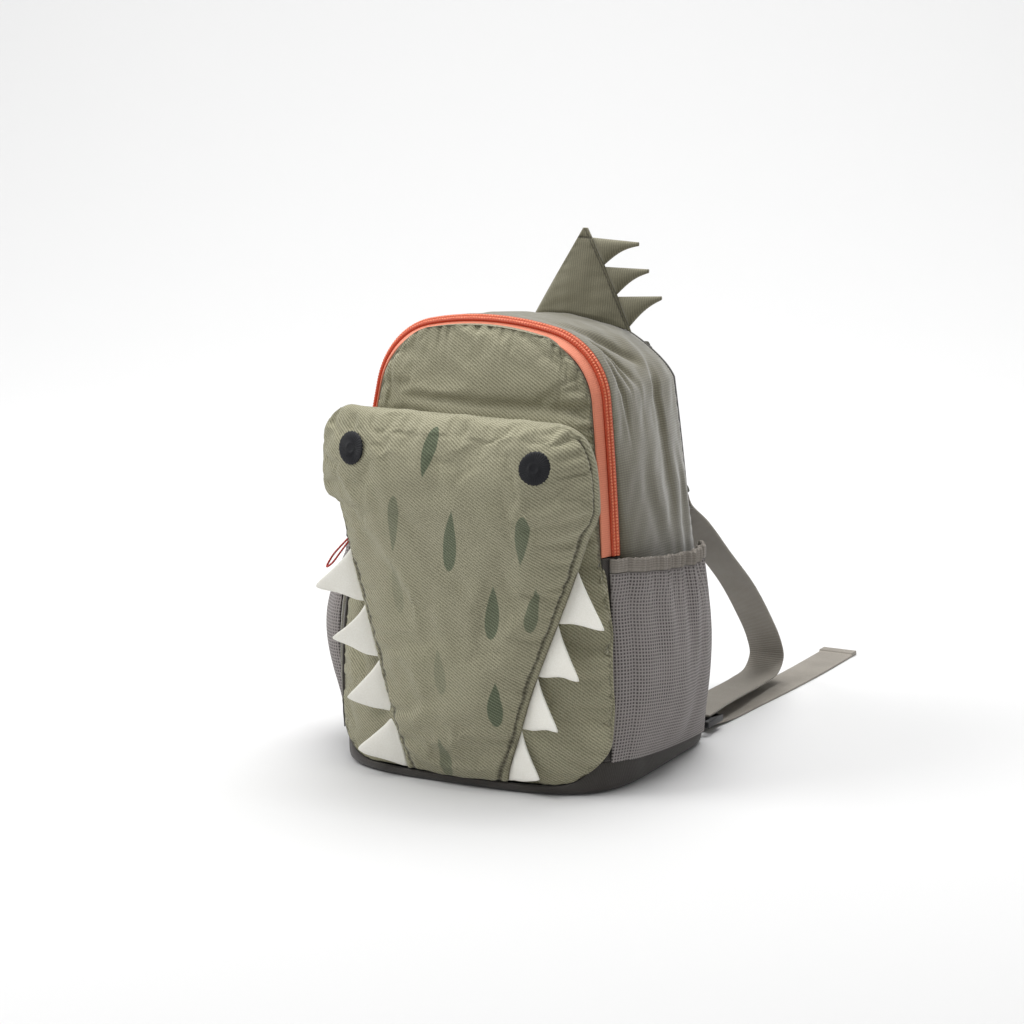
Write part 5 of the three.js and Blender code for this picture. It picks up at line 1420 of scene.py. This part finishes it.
def patches(node, tone, pattern, times, plus, colour):
    """The tone, with another colour where the pattern is high."""
    share = node("Math", pattern, times, plus, operation="MULTIPLY_ADD", use_clamp=True)
    return node("Mix", share, tone, linear(colour), data_type="RGBA")


def between(node, tone, weave, shade, colour):
    """The tone, with a darker colour in the gaps of the weave."""
    gaps = node("Math", 1.0, weave, operation="SUBTRACT")
    gaps = node("Math", gaps, shade, operation="MULTIPLY")
    return node("Mix", gaps, tone, linear(colour), data_type="RGBA")


def stitching(node, tone, thread, half_mm, pitch_mm):
    """The tone with a line of stitches along the seam, and how strongly the line covers it."""
    away, run, _ = node("SeparateXYZ", node("UVMap", uv_map="seam")).outputs
    away = node("Math", away, operation="ABSOLUTE")
    line = node("Math", away, -1 / (half_mm * MM), 1.0, operation="MULTIPLY_ADD", use_clamp=True)
    line = node("Math", line, 0.6, operation="POWER")
    beat = node("Math", run, 2 * math.pi / (pitch_mm * MM), operation="MULTIPLY")
    beat = node("Math", beat, operation="SINE")
    beat = node("Math", beat, 0.15, 0.72, operation="MULTIPLY_ADD")
    share = node("Math", line, beat, operation="MULTIPLY")
    return node("Mix", share, tone, linear(thread), data_type="RGBA"), share


print("band scale at 1.7 mm", round(ONE_BAND / (1.7 * MM), 1))

# %% [markdown]
# ### Sage twill
# Cotton twill is woven with a diagonal rib and dyed in the piece, so the eye sees fine slanting
# lines, broken by the cross threads, and slightly uneven dye. The ribs lie 1.7 mm apart, coarser
# than in most twill, because finer ones are lost at this distance. They run down to the right.

# %% Sage twill, plain and with leaf prints
# Leaf prints on the head: pointed end, round end, half width in millimetres, and strength.
LEAVES = [(-11.5, 195, -7.7, 225.5, 4.4, 0.85), (-35.4, 145.4, -31.5, 183, 3.8, 0.5),
          (8.5, 178.7, 2.3, 138.3, 5.0, 0.8), (50.3, 145.6, 54.7, 177.5, 4.9, 0.75),
          (-38.1, 140.9, -33.7, 107.1, 4.2, 0.2), (31.4, 132.5, 28.5, 97.8, 5.0, 0.8),
          (58.7, 132.9, 53.2, 103.9, 4.2, 0.7), (-5.7, 90.6, -2.3, 60.5, 4.2, 0.3),
          (33.0, 72.5, 32.1, 43.4, 4.9, 0.85), (-5.7, 33.4, -3.1, 5.5, 4.4, 0.55)]
LEAF_FULL, LEAF_EDGE = 0.918, 7.0  # brings the widest place to the half width; sharpness


def leaf_print(node, place):
    """How strongly the darker print covers each place of the head, from 0 to 1."""
    total = None
    for x0, z0, x1, z1, half, strength in LEAVES:
        leaf = node("Mapping", Vector=place, Rotation=(0, math.atan2(x0 - x1, z0 - z1), 0),
                    Location=((x0 + x1) / 2 * MM, 0, (z0 + z1) / 2 * MM), vector_type="TEXTURE",
                    Scale=(half * MM, 1.0, math.hypot(x1 - x0, z1 - z0) / 2 * MM))
        across, _, along = node("SeparateXYZ", leaf).outputs
        taper = node("Math", 1.0, along, operation="SUBTRACT")
        belly = node("Math", node("Math", 1.0, along, operation="ADD"), operation="SQRT")
        wide = node("Math", taper, belly, operation="MULTIPLY")
        wide = node("Math", wide, LEAF_FULL, operation="MULTIPLY")
        away = node("Math", across, operation="ABSOLUTE")
        inside = node("Math", wide, away, operation="SUBTRACT")
        inside = node("Math", inside, LEAF_EDGE, operation="MULTIPLY", use_clamp=True)
        inside = node("Math", inside, strength, operation="MULTIPLY")
        total = inside if total is None else node("Math", total, inside, operation="MAXIMUM")
    return total


def sage_twill(name, printed):
    material, node = new_material(name, 0.9, 0.2, 0.15)
    cloth, place = node("UVMap", uv_map="cloth"), node("TexCoord").outputs["Object"]
    weave = woven(node, stripes(node, cloth, 1.7, 56, 0.4),
                  stripes(node, cloth, 1.25, 10, 0.5), 0.65)
    dye = node("TexNoise", Vector=place, Scale=1 / (38 * MM), Detail=2, Roughness=0.6)
    slub = node("TexNoise", Vector=cloth, Scale=1 / (1.1 * MM), Detail=2, Roughness=0.7)
    tone = patches(node, linear("a5a388"), dye, 1.6, -0.3, "b0ad94")
    tone = between(node, tone, weave, 0.8, "5c5844")
    tone = patches(node, tone, slub, 1.2, -0.42, "bfb9a1")
    if printed:
        green = node("Mix", weave, linear("434d3c"), linear("6b7860"), data_type="RGBA")
        tone = node("Mix", leaf_print(node, place), tone, green, data_type="RGBA")
    tone, stitches = stitching(node, tone, "35322a", 1.2, 3.2)
    height = node("Math", slub, 0.4, weave, operation="MULTIPLY_ADD")
    height = node("Math", stitches, -2.0, height, operation="MULTIPLY_ADD")
    return finish_material(material, tone, height, 0.3, 0.9)


twill = sage_twill("cotton_twill_sage", False)
twill_printed = sage_twill("cotton_twill_sage_printed", True)
print("twill nodes", len(twill_printed.node_tree.nodes))

# %% [markdown]
# ### Nylon, canvas and webbing
# These are woven flat, so each is the same few nodes with its own colours and pitch. The ribs of
# the nylons and the canvas are drawn 1.1 to 1.5 mm apart, about twice the real pitch, so that they
# still show at this distance.

# %% Ribbed cloths
# Painted shade, darker towards the floor: height where that starts and the depth of the change.
LOW_SHADE_TOP, LOW_SHADE_SPAN = 0.23, 0.08
# Painted shade of the seam on a tape's outer edge fades in over this width.
SEAM_SHADE_FADE = 0.4  # millimetres


def ribbed(name, light, dark, pitch, degrees, roughness, cross=0.0, sheen=0.2, depth=0.12,
           shade=0.5, seam_shade=None, low_shade=0.0):
    """A flat woven cloth with wear and stitches. It can be darkened towards the floor as painted
    shade, and its outer edge can take a dark colour as painted shade of the seam there.
    """
    material, node = new_material(name, roughness, 0.35, sheen)
    cloth, place = node("UVMap", uv_map="cloth"), node("TexCoord").outputs["Object"]
    weave = woven(node, stripes(node, cloth, pitch, degrees, 0.5),
                  stripes(node, cloth, cross or pitch * 1.1, degrees + 90, 0.5), 0.6)
    grain = node("TexNoise", Vector=cloth, Scale=1 / (0.8 * MM), Detail=2, Roughness=0.7)
    wear = node("TexNoise", Vector=place, Scale=1 / (30 * MM), Detail=3, Roughness=0.6)
    tone = between(node, linear(light), weave, shade, dark)
    tone = patches(node, tone, wear, 0.9, -0.3, light)
    tone = patches(node, tone, grain, 0.9, -0.35, dark)
    # Painted shade: the cloth darkens towards the floor, standing in for the lesser light there.
    low = node("Math", node("SeparateXYZ", place).outputs[2], -1 / LOW_SHADE_SPAN, LOW_SHADE_TOP / LOW_SHADE_SPAN,
               operation="MULTIPLY_ADD", use_clamp=True)
    low = node("Math", low, low_shade, operation="MULTIPLY")
    tone = node("Mix", low, tone, linear(dark), data_type="RGBA")
    tone, _ = stitching(node, tone, "3b3830", 0.7, 2.6)
    # Painted shade: the outer edge takes the given dark colour, for the shade of the seam beside
    # it.
    if seam_shade:
        colour, start_mm = seam_shade
        over = node("SeparateXYZ", cloth).outputs[0]
        tone = patches(node, tone, over, 1 / (SEAM_SHADE_FADE * MM), -start_mm / SEAM_SHADE_FADE, colour)
    height = node("Math", grain, 0.3, weave, operation="MULTIPLY_ADD")
    return finish_material(material, tone, height, depth, 0.8)


# Olive bag nylon: smooth endless threads, so it shines softly along its folds. A square grid of
# stronger threads is just visible.
# Its lower part is painted darker, as shade towards the floor.
nylon = ribbed("ribbed_nylon_olive", "7c775f", "3f3a2f", 1.5, 90, 0.6, 2.6, 0.5, 0.14, 0.65,
               low_shade=0.4)
# Tail canvas: thick spun cotton with cross ribs, so it is matt and coarse.
canvas = ribbed("ribbed_canvas_olive", "918d77", "565344", 1.5, 0, 0.8, 0.9, 0.2, 0.14, 0.6)
# Charcoal nylon: the lining cloth of base, back and facings, dark, tight and almost even.
charcoal = ribbed("woven_nylon_charcoal", "4a4642", "2a2825", 1.1, 45, 0.7)
# Polyester webbing: thick threads with coarse cross ribs, each with its own small shadow.
webbing = ribbed("webbing_grey", "a8a298", "645f58", 1.7, 90, 0.8, 1.1, 0.1, 0.2, 0.7)
# Zip tape: closely woven polyester, flat and bright. From 5.6 mm off the middle its edge is
# nearly black: painted shade of the seam beside the side strip.
tape_cloth = ribbed("zip_tape_orange", "f0977a", "cd7459", 1.3, 90, 0.75, 0.9, 0.1, 0.12, 0.5,
                    ("25221f", 5.6))
# Grosgrain: ribbed ribbon, matt and a little darker than the cloth that it binds.
binding = ribbed("grosgrain_olive", "6b6a5d", "403f37", 1.4, 90, 0.7)
print("materials so far", len(bpy.data.materials))

# %% [markdown]
# ### Net and coil
# A net shows the darker cloth behind it between its threads. The zip's coil is a nylon spiral that
# is sewn down, so two rows of bright turns lie side by side with dark gaps between them.

# %% Pocket net and zip coil
def pocket_net(name, light, dark, pitch):
    """Threads both ways over the darker cloth that shows between them."""
    material, node = new_material(name, 0.85, 0.25, 0.1)
    cloth, place = node("UVMap", uv_map="cloth"), node("TexCoord").outputs["Object"]
    threads = [node("Math", stripes(node, cloth, pitch, degrees, 0.6), 1.6, operation="POWER")
               for degrees in (0, 90)]
    net = node("Math", *threads, operation="MAXIMUM")
    dust = node("TexNoise", Vector=place, Scale=1 / (22 * MM), Detail=2, Roughness=0.6)
    grain = node("TexNoise", Vector=cloth, Scale=1 / (0.7 * MM), Detail=2, Roughness=0.7)
    tone = node("Mix", net, linear(dark), linear(light), data_type="RGBA")
    tone = patches(node, tone, dust, 0.7, -0.25, light)
    tone = patches(node, tone, grain, 0.8, -0.3, dark)
    return finish_material(material, tone, net, 0.3, 0.8)


def coil_stitches(name, light, dark, row_mm, turn_mm):
    """Two rows of bright turns, one in each half of the coil's width."""
    material, node = new_material(name, 0.45, 0.45)
    cloth = node("UVMap", uv_map="cloth")
    across, along, _ = node("SeparateXYZ", cloth).outputs
    rows = node("Math", across, 2 * math.pi / (row_mm * MM), operation="MULTIPLY")
    rows = node("Math", node("Math", rows, operation="COSINE"), -0.5, 0.5, operation="MULTIPLY_ADD")
    turns = node("Math", along, 2 * math.pi / (turn_mm * MM), operation="MULTIPLY")
    turns = node("Math", node("Math", turns, operation="SINE"), 0.4, 0.6, operation="MULTIPLY_ADD")
    share = node("Math", rows, turns, operation="MULTIPLY", use_clamp=True)
    grain = node("TexNoise", Vector=cloth, Scale=1 / (0.6 * MM), Detail=2, Roughness=0.6)
    tone = node("Mix", share, linear(dark), linear(light), data_type="RGBA")
    tone = patches(node, tone, grain, 0.6, -0.2, dark)
    return finish_material(material, tone, share, 0.3, 0.8)


# Coil: bright nylon, a little shiny. Its turns are drawn 2.1 mm apart, coarser than real ones, so
# that they stay visible.
coil_nylon = coil_stitches("coil_nylon_orange", "f79a70", "c04526", 2.8, 2.1)
# Pocket net: knitted polyester, matt grey threads over shadow.
mesh_cloth = pocket_net("net_grey", "a39d9a", "413c3d", 2.1)
# Elastic hem: the net's threads drawn close over rubber, so it is ribbed and even.
hem_cloth = ribbed("elastic_hem_grey", "989188", "544f49", 1.5, 0, 0.85, 1.5)
print("materials so far", len(bpy.data.materials))

# %% [markdown]
# ### Felt, thread, cord and plastic
# None of these has ribs at this distance. Each is a fine grain over broad, faint patches, and they
# differ in how soft the grain is and how much they shine.

# %% Stuffs without ribs
def plain_stuff(name, light, dark, grain_mm, roughness, depth, sheen=0.3, specular=0.2):
    material, node = new_material(name, roughness, specular, sheen)
    place = node("TexCoord").outputs["Object"]
    fine = node("TexNoise", Vector=place, Scale=1 / (grain_mm * MM), Detail=4, Roughness=0.7)
    broad = node("TexNoise", Vector=place, Scale=1 / (grain_mm * 14 * MM), Detail=2, Roughness=0.5)
    tone = patches(node, linear(dark), fine, 1.4, -0.2, light)
    tone = patches(node, tone, broad, 0.8, -0.25, dark)
    return finish_material(material, tone, fine, depth, 0.7)


# Wool felt: pressed fibres without threads, so it is matt, white and slightly fuzzy.
felt = plain_stuff("wool_felt_white", "fcfbf5", "eae7dc", 0.9, 0.95, 0.2)
# Satin thread: smooth black stitches with a faint shine.
eye_thread = plain_stuff("satin_thread_black", "1d1e24", "0c0d10", 0.5, 0.55, 0.1, 0.0, 0.35)
# Braided cord: thin, dull red, with a fine uneven surface.
cord_red = plain_stuff("braided_cord_red", "cf4a40", "8f2a24", 0.5, 0.75, 0.1)
# Acetal: hard moulded plastic, nearly black, with a soft highlight on its edges.
plastic = plain_stuff("acetal_black", "2b2b2c", "1d1d1e", 0.35, 0.42, 0.03, 0.0, 0.5)
print("materials", len(bpy.data.materials))

# %% [markdown]
# ## Putting it together
# Every piece takes its material, rides on the bag's one body, and hides the solid that it stands
# for.

# %% Materials, bodies and replaced solids
DRESS = {
    "front_cloth": (twill, "sage_twill", ["front_panel"]),
    "head_cloth": (twill_printed, "sage_twill", ["head"]),
    "side_strip": (nylon, "olive_nylon", ["gusset"]),
    "back_cloth": (charcoal, "charcoal_nylon", ["back_panel"]),
    "base_cloth": (charcoal, "charcoal_nylon", ["base_tray"]),
    "zip_cloth": (tape_cloth, "orange_tape", ["zip_tape"]),
    "zip_coil": (coil_nylon, "orange_coil", ["zip_chain"]),
    "slider_body": (plastic, "black_plastic", ["zip_slider"]),
    "pull_cord": (cord_red, "red_cord", ["zip_pull"]),
    "tail_cloth": (canvas, "tail_canvas", ["tail"]),
}
for number in (1, 2, 3):
    DRESS[f"spike_cloth_{number}"] = (canvas, "tail_canvas", [f"tail_spike_{number}"])
for side in ("right", "left"):
    DRESS[f"facing_cloth_{side}"] = (charcoal, "charcoal_nylon", [f"facing_{side}"])
    DRESS[f"pocket_mesh_{side}"] = (mesh_cloth, "grey_mesh", [f"pocket_{side}"])
    DRESS[f"pocket_elastic_{side}"] = (hem_cloth, "grey_mesh", [f"pocket_hem_{side}"])
    DRESS[f"eye_thread_{side}"] = (eye_thread, "black_thread", [f"eye_{side}"])
    DRESS[f"strap_pad_{side}"] = (nylon, "olive_nylon", [f"shoulder_strap_{side}"])
    DRESS[f"strap_binding_{side}"] = (binding, "olive_nylon", [])
    DRESS[f"webbing_long_{side}"] = (webbing, "grey_webbing", [f"webbing_loop_{side}"])
    DRESS[f"webbing_end_{side}"] = (webbing, "grey_webbing", [f"webbing_free_end_{side}"])
    DRESS[f"webbing_tab_{side}"] = (webbing, "grey_webbing", [f"lock_tab_{side}"])
    DRESS[f"buckle_{side}"] = (plastic, "black_plastic", [f"ladder_lock_{side}"])
    for index in (1, 2, 3, 4):
        DRESS[f"felt_tooth_{index}_{side}"] = (felt, "white_felt", [f"tooth_{index}_{side}"])

for name, (material, slot, nodes) in DRESS.items():
    piece = pieces[name]
    piece.data.materials.clear()
    piece.data.materials.append(material)
    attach(piece, "root")
    if nodes:
        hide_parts(*nodes)
print("pieces", len(DRESS), "without a dress", sorted(set(pieces) - set(DRESS)))

# %% [markdown]
# ## Floor and light
# A pale floor curves up behind the bag, as a paper roll does in a studio. The key light stands at
# the upper left in front, a larger and softer one hangs above, and a third lights the paper behind
# the bag. An even pale sky fills the shadows.

# %% Floor, lights and world
BEND_START, BEND_RADIUS = 1.2, 1.5  # metres


def studio():
    bend = np.linspace(0.1, 1.57, 14)
    floor_y = np.concatenate([np.linspace(-3.0, BEND_START, 8),
                              BEND_START + BEND_RADIUS * np.sin(bend), [BEND_START + BEND_RADIUS]])
    floor_z = np.concatenate([np.zeros(8), BEND_RADIUS - BEND_RADIUS * np.cos(bend), [5.0]])
    rows = [[(x, y, z) for x in (-4.0, 0.0, 4.0)] for y, z in zip(floor_y, floor_z)]
    points = np.array(rows).reshape(-1, 3)
    mesh = bpy.data.meshes.new("paper_roll")
    mesh.from_pydata(points.tolist(), [], grid_faces(len(rows), 3)[:, ::-1].tolist())
    mesh.polygons.foreach_set("use_smooth", [True] * len(mesh.polygons))
    roll = new_object("paper_roll", mesh)
    turn = math.radians(26.67)
    for vertex in mesh.vertices:
        x, y, z = vertex.co
        vertex.co = (x * math.cos(turn) - y * math.sin(turn),
                     x * math.sin(turn) + y * math.cos(turn), z)
    return roll


# Studio paper: uncoated, so it is matt and throws the light back evenly.
paper, _ = new_material("matt_paper_white", 0.95, 0.1)
paper.node_tree.nodes["Principled BSDF"].inputs["Base Color"].default_value = linear("dcdcdc")
studio().data.materials.append(paper)


def softbox(name, place, aim, size, power):
    data = bpy.data.lights.new(name, "AREA")
    data.shape, data.size, data.energy = "SQUARE", size, power  # metres, watts
    lamp = new_object(name, data)
    lamp.location = place
    way = np.array(aim) - np.array(place)
    flat = math.hypot(way[0], way[1])
    lamp.rotation_euler = (math.atan2(flat, -way[2]), 0.0, math.atan2(-way[0], way[1]))
    return lamp


softbox("key_light", (-1.3, -1.0, 1.7), (0, 0, 0.12), 0.9, 23)
softbox("top_light", (0.0, 0.4, 2.1), (0, 0, 0.1), 1.7, 42)
softbox("backdrop_light", (0.0, 0.6, 2.6), (-0.6, 2.6, 1.6), 1.2, 30)
world = bpy.data.worlds.new("soft_sky")
world.use_nodes = True
world.node_tree.nodes["Background"].inputs["Color"].default_value = (1, 1, 1, 1)
world.node_tree.nodes["Background"].inputs["Strength"].default_value = 0.37
bpy.context.scene.world = world
bpy.context.scene.view_settings.view_transform = "Standard"
